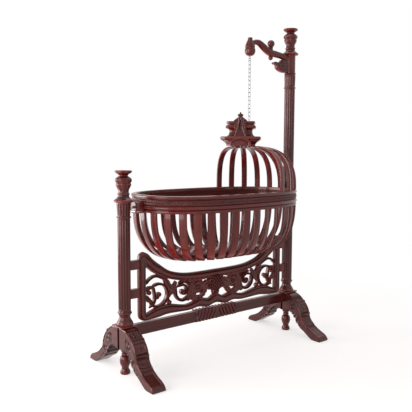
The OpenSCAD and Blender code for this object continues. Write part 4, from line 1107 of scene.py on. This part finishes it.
# %% The leg's two lines
leg_reach, hub_top, leg_t, hub_low = 0.303, 0.242, 0.076, 0.130
leg_size = [leg_reach, hub_top]
back_line = leg_size * curve([
    (0.027, 1.0), (0.12, 1.0), (0.25, 0.955), (0.4, 0.82), (0.495, 0.67), (0.53, 0.545), (0.55, 0.45),
    (0.59, 0.38), (0.64, 0.325), (0.7, 0.265), (0.79, 0.205), (0.88, 0.16), (0.945, 0.118), (0.985, 0.065),
    (1.0, 0.025)], 11)
under_line = leg_size * curve([
    (0.027, 0.54), (0.10, 0.555), (0.19, 0.56), (0.25, 0.53), (0.31, 0.46), (0.37, 0.36), (0.44, 0.26),
    (0.5, 0.2), (0.55, 0.17), (0.61, 0.13), (0.66, 0.09), (0.74, 0.03), (0.8, 0.001), (0.9, 0.0),
    (0.985, 0.0)], 11)
down = distances(back_line)
down /= down[-1]
print("leg: back %.3f m long" % distances(back_line)[-1])

# %% [markdown]
# Carving that is worked out is a sum of a few plain shapes: a bump, a stretch between two places, a slope
# and a band between two sunk lines. A displacement texture could hold them, but as formulas they stay
# sharp at any size.

# %% Plain shapes for carving
def bump_at(s, centre, width):
    """A smooth bump, 1 high, at a place along the leg."""
    return np.exp(-((s - centre) / width) ** 2)


def within(s, low, high, soft):
    """1 between two places along the leg, falling to 0 at both."""
    return min(1, (s - low) / soft, (high - s) / soft)


def beyond(x, soft):
    """Rises from 0 to 1 as x goes from 0 to soft."""
    return np.clip(x / soft, 0, 1)


def rolled_band(s, centre, high, wide, deep, gap, soft):
    """A band that stands out across the leg, between two sunk lines."""
    return high * bump_at(s, centre, wide) - deep * bump_at(s, centre - gap[0], soft[0]) \
        - deep * bump_at(s, centre + gap[1], soft[1])


print("a slope over 0.1 is at", float(beyond(0.05, 0.1)), "half way up")

# %% [markdown]
# From the hub down, the leg's back is carved with flutes, a rolled band, a sunk panel with reeds, a
# second band, scales, and a sunk tablet on the toe. Each could be a piece laid on, but it is carved wood,
# so the surface itself goes in and out.

# %% Carving on the leg's back
def back_relief(s, v):
    """How far the leg's back stands out at a share of its length, and across it from -1 to 1."""
    h = rolled_band(s, 0.305, 0.0045, 0.012, 0.0030, (0.022, 0.023), (0.006, 0.006)) + np.zeros_like(v)
    h = h + rolled_band(s, 0.505, 0.0050, 0.016, 0.0035, (0.023, 0.027), (0.006, 0.007))
    h = h - 0.0035 * bump_at(s, 0.695, 0.006)
    if 0.17 < s < 0.27:    # flutes under the hub
        flute = np.clip(np.cos(pi * 5 * v), 0, 1) ** 0.6 * (np.abs(v) < 0.9)
        h = h - 0.0030 * within(s, 0.17, 0.27, 0.015) * flute
    if 0.36 < s < 0.47:    # a sunk panel with reeds in it
        inside = within(s, 0.36, 0.47, 0.012)
        reeds = np.clip(np.cos(pi * (v * 2.5)), 0, 1) * bump_at(s, 0.415, 0.03) * (np.abs(v) < 0.6)
        h = h - 0.0022 * inside * beyond(0.72 - np.abs(v), 0.08) + 0.0028 * inside * reeds
    if 0.545 < s < 0.68:    # scales
        scale = np.abs(np.sin(pi * ((s - 0.545) / 0.045 + 0.45 * np.abs(v))))
        h = h - 0.0028 * within(s, 0.545, 0.68, 0.012) * (1 - scale ** 0.6) * (np.abs(v) < 0.8)
    if 0.71 < s < 0.93:    # the tablet on the toe
        h = h - 0.0026 * within(s, 0.71, 0.93, 0.012) * beyond(0.74 - np.abs(v), 0.08)
    return np.clip(1.8 * h, -0.008, 0.006) * beyond(1 - np.abs(v), 0.10)


print("back of the leg at the first band: %.1f mm high" % (1000 * back_relief(0.305, np.zeros(1))[0]))

# %% [markdown]
# Both faces of a leg have eyes that look pierced, leaf veins near the underside, and a groove along the
# back. Real holes could be cut, but the eyes end in the wood, and soft hollows need no cutting tool.

# %% Carving on the leg's faces
# Each eye: its place along and across the leg's face, its half-sizes there, and its depth
eyes = ((0.20, 0.42, 0.030, 0.13, 0.006), (0.27, 0.30, 0.022, 0.10, 0.005), (0.27, 0.62, 0.022, 0.10, 0.005),
        (0.335, 0.45, 0.020, 0.12, 0.005), (0.52, 0.50, 0.022, 0.22, 0.005))


def side_relief(s, w):
    """How deep the leg's faces are cut at a share of its length, from its back 0 to its underside 1."""
    cut = np.zeros_like(w)
    for along, across, long, wide, deep in eyes:
        cut = cut + deep * np.clip(1.3 - ((s - along) / long) ** 2 - ((w - across) / wide) ** 2, 0, 1)
    veins = np.clip(np.sin(2 * pi * (s * 15 - 0.9 * w)), 0, 1) ** 2
    veins = veins * beyond(w - 0.55, 0.15) * beyond(0.95 - w, 0.1)
    cut = cut + 0.0022 * veins * beyond(s - 0.14, 0.04) * beyond(0.72 - s, 0.05)
    groove = np.exp(-((w - 0.10) / 0.030) ** 2) * beyond(s - 0.12, 0.03)
    return np.minimum(1.7 * cut + 0.003 * groove, 0.0105)


print("eyes in each face:", len(eyes))

# %% [markdown]
# Each ring goes over the back, down one face, under the leg and up the other face, square to its line.
# The underside is scalloped like a row of leaves. One leg is made, and copies of it stand in the four
# places, two of them mirrored. The four could be made one by one, but then they would differ.

# %% Legs
half_t, arris, scallop_from, scallop_to = leg_t / 2, 0.004, 0.14, 0.565
back_v, side_w = np.linspace(-1, 1, 34), np.linspace(0, 1, 18)
rings = []
for s, top, low in zip(down, back_line, under_line):
    way = (low - top) / np.linalg.norm(low - top)
    if scallop_from < s < scallop_to:
        low = low - way * 0.0065 + way * 0.009 * abs(sin(pi * (s - scallop_from) / 0.085))
    deep = np.linalg.norm(low - top)
    back = [(v * (half_t - arris * (abs(v) > 0.999)), *(top - way * min(h, 0.006)))
            for v, h in zip(back_v, back_relief(s, back_v))]
    levels = arris / deep + side_w * (1 - 2 * arris / deep)
    side = [(half_t - cut, *(top + way * deep * q)) for q, cut in zip(levels, side_relief(s, side_w))]
    under = [(x, *(top + way * deep)) for x in np.linspace(half_t - arris, arris - half_t, 10)]
    rings.append(back + side + under + [(-x, y, z) for x, y, z in side[::-1]])
leg = rolled("leg", rings, angle=48)
for end, x in (("foot", -post_x), ("head", post_x)):
    for side, turn in (("back", Matrix.Identity(4)), ("front", mirror_y)):
        node = "leg_%s_%s" % (end, side)
        one = copied(leg, "carved_" + node, Matrix.Translation((x, 0, 0)) @ turn)
        finished(one, "stand", wood_y, "lacquered_wood", node)
bpy.data.objects.remove(leg)
print("leg: %d rings of %d points" % (len(rings), len(rings[0])))

# %% [markdown]
# Between the two legs of an end stands the hub: a narrow core that they are fixed to, and a square plate
# on top that carries the post. Sawn blocks like these really are cubes with their edges taken off, so
# here a cube and a bevel are the right way.

# %% Hubs
def block(name, low, high, edge):
    """A cube primitive stretched between two corners, with its edges rounded."""
    bpy.ops.object.select_all(action="DESELECT")
    low, high = Vector(low), Vector(high)
    bpy.ops.mesh.primitive_cube_add(size=1, location=(low + high) / 2)
    o = newest(name)
    o.scale = high - low
    bpy.ops.object.transform_apply(location=True, rotation=True, scale=True)
    bpy.ops.object.mode_set(mode="EDIT")
    bpy.ops.mesh.select_all(action="SELECT")
    bpy.ops.mesh.bevel(offset=edge, segments=3, affect="EDGES")
    bpy.ops.object.mode_set(mode="OBJECT")
    bpy.ops.object.shade_smooth_by_angle(angle=radians(40))
    return o


core_x, core_y, plate_half = 0.031, 0.0078, 0.047
parts = []
for x in (-post_x, post_x):
    parts.append(block("core", (x - core_x, -core_y, hub_low), (x + core_x, core_y, hub_top), 0.001))
    parts.append(block("plate", (x - plate_half, -plate_half, hub_top), (x + plate_half, plate_half, hub_h),
                       0.0025))
finished(joined("hub_blocks", parts), "stand", wood_x, "lacquered_wood", "hubs")
print("hubs:", made["hub_blocks"], "faces")

# %% [markdown]
# The ribs are gathered under a square cap: a cup, a wide slab on it, and an arched apron over the cup.
# The crown on the slab is a square neck between mouldings. Each is one profile drawn round a square with
# cut corners, as a turning is drawn round a circle. The apron is a grid over an arch, filled behind.

# %% Squared mouldings
dome_top, cap_w, cap_h, cornice_w = rim_top + dome_h, 0.222, 0.051, 0.166
cap_top = dome_top + cap_h
on_dome = Matrix.Translation((basket_x + dome_x, 0, 0)) @ Matrix.Rotation(radians(-45), 4, "Z")


def squared(name, profile, cut, z0, soft=0.0022):
    """A profile of (width, height) drawn round a square whose corners are cut off and softened."""
    rings = []
    for w, z in profile:
        h = w / 2
        corners = np.array([(h, cut - h), (h, h - cut), (h - cut, h), (cut - h, h),
                            (-h, h - cut), (-h, cut - h), (cut - h, -h), (h - cut, -h)])
        ring = []
        for i, p in enumerate(corners):
            a, b = corners[i - 1] - p, corners[(i + 1) % 8] - p
            a, b = a / np.linalg.norm(a), b / np.linalg.norm(b)
            ring += [p + soft * a, p + 0.28 * soft * (a + b), p + soft * b]
        rings.append([(x, y, z0 + z) for x, y in ring])
    o = rolled(name, rings, angle=35)
    o.data.transform(on_dome)
    return o


def apron(name, turn):
    """An arched shield with a raised border, hung over one face of the cap's cup."""
    w, h, face, deep = 0.26 * cap_w, 0.86 * cap_h, cap_w / 2 + 0.001, 0.2 * cap_w
    arch = [(w * cos(a), (0.3 + 0.7 * sin(a)) * h) for a in np.linspace(pi, 0, 29)]
    edge = [(-w, 0), (-w, 0.15 * h), *arch, (w, 0.15 * h), (w, 0)]
    steps = [(0, 0.0008), (0.35, 0.0004), (0.6, -0.0008), (0.72, -0.0018), (0.76, -0.0022), (0.785, -0.0004),
             (0.82, 0.0010), (0.88, 0.0014), (0.94, 0.0010), (0.985, -0.0006), (1, -0.003), (1, -deep)]
    o = rolled(name, [[(x * s, -face - d, z * s) for s, d in steps] for x, z in edge], tube=False, angle=35)
    bpy.ops.object.mode_set(mode="EDIT")
    bpy.ops.mesh.select_all(action="SELECT")
    bpy.ops.mesh.fill_holes(sides=0)
    bpy.ops.object.mode_set(mode="OBJECT")
    tidy(o, 35)
    o.data.transform(on_dome @ Matrix.Translation((0, 0, dome_top)) @ Matrix.Rotation(turn, 4, "Z"))
    return o


print("cap: %.0f mm wide" % (1000 * cap_w))

# %% [markdown]
# The cup opens upwards to the slab, the slab has a rounded edge, and the crown's neck is drawn in between
# its foot and its cornice. Each is given as widths and heights, as on a joiner's drawing, because then
# the steps are easy to compare with the photograph. A stack of bevelled cubes could not give the hollow
# curves.

# %% Hood cap and crown
cup = [(0.156, 0), (0.160, 0.002), (0.160, 0.0075)] \
    + eased_line([(0.162, 0.0085), (0.168, 0.0135), (0.180, 0.0205), (0.196, 0.0255)]) + [(0.197, 0.0286)]
slab = [(0.203, 0.0286), (0.2055, 0.0292)] \
    + eased_line([(0.206, 0.030), (0.2125, 0.0325), (0.2195, 0.0358), (0.2218, 0.0390)]) \
    + [(0.222, 0.0405), (0.222, 0.0462), (0.2212, 0.0478), (0.2192, 0.0488), (0.2175, 0.0494),
       (0.2165, 0.051)]
cap = joined("moulded_hood_cap", [
    squared("cup", cup, 0.0384, dome_top), squared("slab", slab, 0.0272, dome_top),
    apron("apron_front", 0), apron("apron_behind", pi)])
finished(cap, "cradle", wood_x, "lacquered_wood", "hood_cap")
crown_line = [(0.148, 0), (0.1505, 0.0008), (0.1510, 0.003), (0.1495, 0.0048), (0.143, 0.0055)] \
    + eased_line([(0.141, 0.0065), (0.1335, 0.0125), (0.1270, 0.022), (0.1258, 0.030), (0.1295, 0.0385),
                  (0.1385, 0.0428)]) + [(0.1405, 0.0436), (0.1585, 0.0444)] \
    + eased_line([(0.1595, 0.0450), (0.1648, 0.0490), (0.1662, 0.0535), (0.1625, 0.0592),
                  (0.1525, 0.0634)]) \
    + [(0.1465, 0.0640), (0.1460, 0.0655), (0.1460, 0.0695), (0.1475, 0.0705), (0.1550, 0.0712),
       (0.1560, 0.0725), (0.1560, 0.0826), (0.1545, 0.084)]
finished(squared("moulded_crown", crown_line, 0.0136, cap_top), "cradle", wood_x, "lacquered_wood", "crown")
print("cap and crown:", made["moulded_hood_cap"], "and", made["moulded_crown"], "faces")

# %% [markdown]
# The palmette is a flat carving that stands against the crown. Its outline is narrow at the tip and has
# shoulders below, so it is drawn in rows, each as wide as the outline there. The carving is worked out
# for every point: two stems that lean together, a sunk almond between them, fine leaves outside, and a
# raised border.

# %% Palmette
palm_h, palm_w, palm_t, palm_back = 0.132, 0.038, 0.014, -cornice_w / 2 - 0.0001
palm_edge = curve([(0, 1), (0.1, 0.98), (0.16, 0.93), (0.36, 0.91), (0.42, 0.86), (0.3, 0.82), (0.42, 0.78),
                   (0.66, 0.73), (0.96, 0.66), (1, 0.6), (0.86, 0.55), (0.9, 0.4), (0.8, 0.26), (0.72, 0.14),
                   (0.9, 0.05), (0.84, 0)], 4)[::-1]
across = np.linspace(-1, 1, 41)
rings = []
for z in np.concatenate([np.linspace(0, 0.7, 40), np.linspace(0.715, 1, 34)]):
    wide = max(0.02, float(np.interp(z, palm_edge[:, 1], palm_edge[:, 0])))
    off = np.abs(wide * across)
    lift = 0.0102 + 0.0022 * np.sqrt(1 - 0.98 * across ** 2)
    stems = 0.16 + 0.62 * max(0, (0.74 - z) / 0.74) ** 1.5
    if z < 0.8:
        lift = lift + 0.0030 * bump_at(off, stems, 0.085) - 0.0026 * bump_at(off, stems + 0.17, 0.05)
    almond = 0.20 * max(0, sin(pi * min(1, max(0, (z - 0.2) / 0.5)) ** 0.9))
    lift = lift - 0.0085 * beyond(almond - off, 0.05)
    leaves = 0.5 + 0.5 * np.cos(2 * pi * (9 * z - 1.2 * off))
    lift = lift - 0.0022 * leaves * beyond(off - stems - 0.2, 0.1)
    lift = np.clip(lift, 0.0022, palm_t) * np.clip(0.45 + (1 - np.abs(across)) / 0.08, 0, 1)
    x, height = wide * across * palm_w, cap_top + z * palm_h
    front = np.stack([x, palm_back - lift, np.full(len(across), height)], -1)
    rings.append(np.concatenate([front, [(x[-1], palm_back, height), (x[0], palm_back, height)]]))
palm = rolled("carved_palmette", rings, angle=55)
palm.data.transform(on_dome)
finished(palm, "cradle", carved, "carved_wood", "palmette")
print("palmette:", made["carved_palmette"], "faces")

# %% [markdown]
# The arm springs from the tall post, falls, and rises to the drop in an S. It is round, so it is a tube
# along a line whose thickness changes, with shallow carved furrows that turn round it. A curve with a
# bevel would come out smooth, so the furrows are worked into each ring instead.

# %% Canopy arm
arm_reach, arm_h, drop_low = 0.330, 0.170, 1.63801
arm_low = drop_low - 0.435 * arm_h


def on_arm(x, z):
    """A place given in shares of the arm's reach and height, from the post and the arm's lowest point."""
    return post_x - x * arm_reach, arm_low + z * arm_h


# Shares of reach and height, and the thickness in shares of 32 mm
arm_line = curve([(0.955, 0.86, 0.3), (0.91, 0.895, 0.4), (0.86, 0.912, 0.46), (0.79, 0.905, 0.54),
                  (0.73, 0.85, 0.6), (0.665, 0.775, 0.62), (0.6, 0.705, 0.62), (0.51, 0.635, 0.62),
                  (0.39, 0.615, 0.6), (0.28, 0.595, 0.56), (0.19, 0.57, 0.56), (0.07, 0.535, 0.56)], 5)
line = arm_line * [-arm_reach, arm_h, 0.032] + [post_x, arm_low, 0]
way = np.gradient(line[:, :2], axis=0)
way /= np.linalg.norm(way, axis=1, keepdims=True)
a = np.linspace(0, 2 * pi, 48, endpoint=False)
rings = []
for s, (x, z, thick), d in zip(np.linspace(0, 1, len(line)), line, way):
    r = thick + 0.0021 * np.abs(np.sin(3 * a + 5.5 * s)) ** 0.7 * min(1, 8 * s) - 0.0016
    rings.append(np.stack([x - d[1] * r * np.cos(a), np.minimum(r, 0.0198) * np.sin(a),
                           z + d[0] * r * np.cos(a)], -1))
arm_parts = [rolled("arm", rings, angle=50)]
print("arm:", len(rings), "rings")

# %% [markdown]
# A round bud sits in the arm's back, a small one under it, and a volute with a hooked tip fills the
# corner below, against a pad on the post. The buds are turned with petals cut in. The volute is a plate
# whose rings all run from its outline to its heart, because its form is a coil that winds in.

# %% Buds, volute and pad of the arm
def knob(name, place, r, neck=0.0):
    """A round carved bud with leaves round it, on a short neck when it has one."""
    line = [(r * sin(t), -r * cos(t)) for t in np.linspace(0, pi, 22)]
    if neck:
        line = [(0, -neck), (0.5 * r, -neck), (0.58 * r, -1.5 * r), (0.52 * r, -1.1 * r)] \
            + [q for q in line if q[1] > -0.8 * r]

    def petals(a, h, radius):
        lobe = np.abs(np.cos(3.5 * a + 2.0 * h / r)) ** 0.5
        return -0.14 * r * (1 - lobe) * max(0, 1 - (h / r) ** 2) ** 0.5
    return turned(name, line, (place[0], 0, place[1]), 56, petals, angle=55)


arm_parts.append(knob("bud_above", on_arm(0.495, 0.94), 0.125 * arm_h, 0.27 * arm_h))
arm_parts.append(knob("bud_below", on_arm(0.5, 0.47), 0.08 * arm_h))
volute = curve([(0.074, 0.563), (0.164, 0.498), (0.238, 0.444), (0.249, 0.397), (0.279, 0.353),
                (0.322, 0.359), (0.361, 0.330), (0.399, 0.358), (0.440, 0.320), (0.432, 0.281),
                (0.388, 0.274), (0.369, 0.230), (0.361, 0.157), (0.322, 0.090), (0.262, 0.045),
                (0.191, 0.021), (0.137, 0.031), (0.074, 0.069)], 4)
volute = np.vstack([volute, volute[:1]]) * [-arm_reach, arm_h] + [post_x, arm_low]
heart = np.array(on_arm(0.215, 0.235))
shares = np.concatenate([[0], np.linspace(0.08, 0.97, 22), [1.0]])
rings = []
for p in volute:
    turn = atan2(p[1] - heart[1], p[0] - heart[0]) / (2 * pi)
    coil = np.abs(np.sin(pi * (2.2 * shares + turn)))
    deep = (0.0188 - 0.0045 * shares) - 0.0042 * (1 - coil ** 0.6) * beyond(1 - shares, 0.12) \
        - 0.0035 * beyond(shares - 0.93, 0.07)
    flat = heart + shares[:, None] * (p - heart)
    rings.append(both_faces(flat[:, 0], deep, flat[:, 1]))
arm_parts.append(rolled("volute", rings, tube=False, angle=50))
pad_face, pad_back, pad_half = post_x - 0.0465, post_x - 0.0155, 0.0144
arm_parts.append(block("pad", (pad_face, -pad_half, arm_low + 0.05 * arm_h),
                       (pad_back, pad_half, arm_low + 0.65 * arm_h), 0.003))
finished(joined("carved_canopy_arm", arm_parts), "stand", carved, "carved_wood", "canopy_arm")
print("canopy arm:", made["carved_canopy_arm"], "faces")

# %% [markdown]
# At the arm's tip hangs a pear-shaped drop with two rows of leaves. It is turned, like the finials, and
# its leaves are cut by a wave in the radius that fades out at both ends of each row.

# %% Pear drop at the arm's tip
drop_r, drop_h = 0.030, 0.103
pear = [(0, 0), (0.2, 0.0), (0.38, 0.004)] \
    + eased_line([(0.42, 0.01), (0.62, 0.035), (0.8, 0.09), (0.94, 0.17), (1.0, 0.28), (0.97, 0.37),
                  (0.88, 0.42)]) \
    + eased_line([(0.86, 0.435), (0.93, 0.47), (0.93, 0.51), (0.84, 0.62), (0.66, 0.75), (0.48, 0.85),
                  (0.43, 0.89)]) \
    + eased_line([(0.44, 0.905), (0.46, 0.94), (0.38, 0.98), (0.2, 0.995)]) + [(0, 1)]


def drop_leaves(a, z, r):
    """Two rows of four leaves round the drop."""
    s = z / drop_h
    if s < 0.42:
        return -0.0022 * (1 - np.abs(np.cos(4 * a)) ** 0.5) * sin(pi * min(1, max(0, s / 0.42))) ** 0.5
    if s < 0.88:
        return -0.0026 * (1 - np.abs(np.cos(4 * a + 0.6)) ** 0.6) * sin(pi * (s - 0.42) / 0.46) ** 0.4
    return 0


drop = turned("carved_drop", [(r * drop_r, z * drop_h) for r, z in pear],
              (post_x - arm_reach + 0.002, 0, drop_low), 80, drop_leaves, angle=50)
finished(drop, "stand", carved, "carved_wood", "arm_drop")
print("drop:", made["carved_drop"], "faces")

# %% [markdown]
# The blocks that hold the panel to the posts and the basket to its pins are plain sawn pieces with their
# edges taken off. Their form is right as it was packed, so a copy is made whole, its flat faces are
# joined up, and a Bevel modifier rounds the edges. Drawing them again would only risk their fit.

# %% Blocks with eased edges
def eased(name, node, body, edge, finish, slot):
    """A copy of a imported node, made whole and with its edges rounded."""
    o = bpy.data.objects.new(name, nodes[node].data.copy())
    bpy.context.collection.objects.link(o)
    only(o)
    bpy.ops.object.mode_set(mode="EDIT")
    bpy.ops.mesh.select_all(action="SELECT")
    bpy.ops.mesh.remove_doubles(threshold=1e-5)
    bpy.ops.mesh.dissolve_limited(angle_limit=radians(2))
    bpy.ops.object.mode_set(mode="OBJECT")
    soft = o.modifiers.new("soft_edge", "BEVEL")
    soft.width, soft.segments, soft.limit_method, soft.angle_limit = edge, 2, "ANGLE", radians(32)
    bpy.ops.object.modifier_apply(modifier="soft_edge")
    bpy.ops.object.shade_smooth_by_angle(angle=radians(40))
    return finished(o, body, finish, slot, node)


eased("eased_panel_blocks", "panel_blocks", "stand", 0.0022, wood_x, "lacquered_wood")
eased("eased_pivot_block_foot", "pivot_block_foot_end", "cradle", 0.0015, wood_x, "lacquered_wood")
eased("eased_pivot_block_head", "pivot_block_head_end", "cradle", 0.0015, wood_x, "lacquered_wood")
eased("eased_pivot_plates", "pivot_plates", "cradle", 0.0004, steel, "pivot_steel")
print("eased blocks:", [n for n in made if n.startswith("eased")])

# %% [markdown]
# The chain, its ring, the screw eye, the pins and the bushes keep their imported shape, which is the real
# one. They only get their metal. The nodes that a carved piece stands for get their wood too, so that no
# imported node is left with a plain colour.

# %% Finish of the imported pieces
for name, piece in nodes.items():
    finish = wood_z
    if name.startswith("chain") or name == "screw_eye":
        finish = chrome
    elif name in ("pivot_pins", "pivot_plates"):
        finish = steel
    elif name == "pivot_bushes":
        finish = brass
    elif name in ("stretcher", "panel_top_rail", "panel_bottom_rail", "rim_band", "rim_rope",
                  "bottom_board"):
        finish = wood_x
    piece.data.materials.clear()
    piece.data.materials.append(finish)
print("finished packed nodes:", len(nodes), "and new pieces:", len(made))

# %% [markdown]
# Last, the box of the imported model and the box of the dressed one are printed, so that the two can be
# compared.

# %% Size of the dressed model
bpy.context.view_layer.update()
for name, box in (("packed", cad_box), ("dressed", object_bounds())):
    print(name, "model: %.3f by %.3f by %.3f m" % tuple(high - low for low, high in zip(*box)))
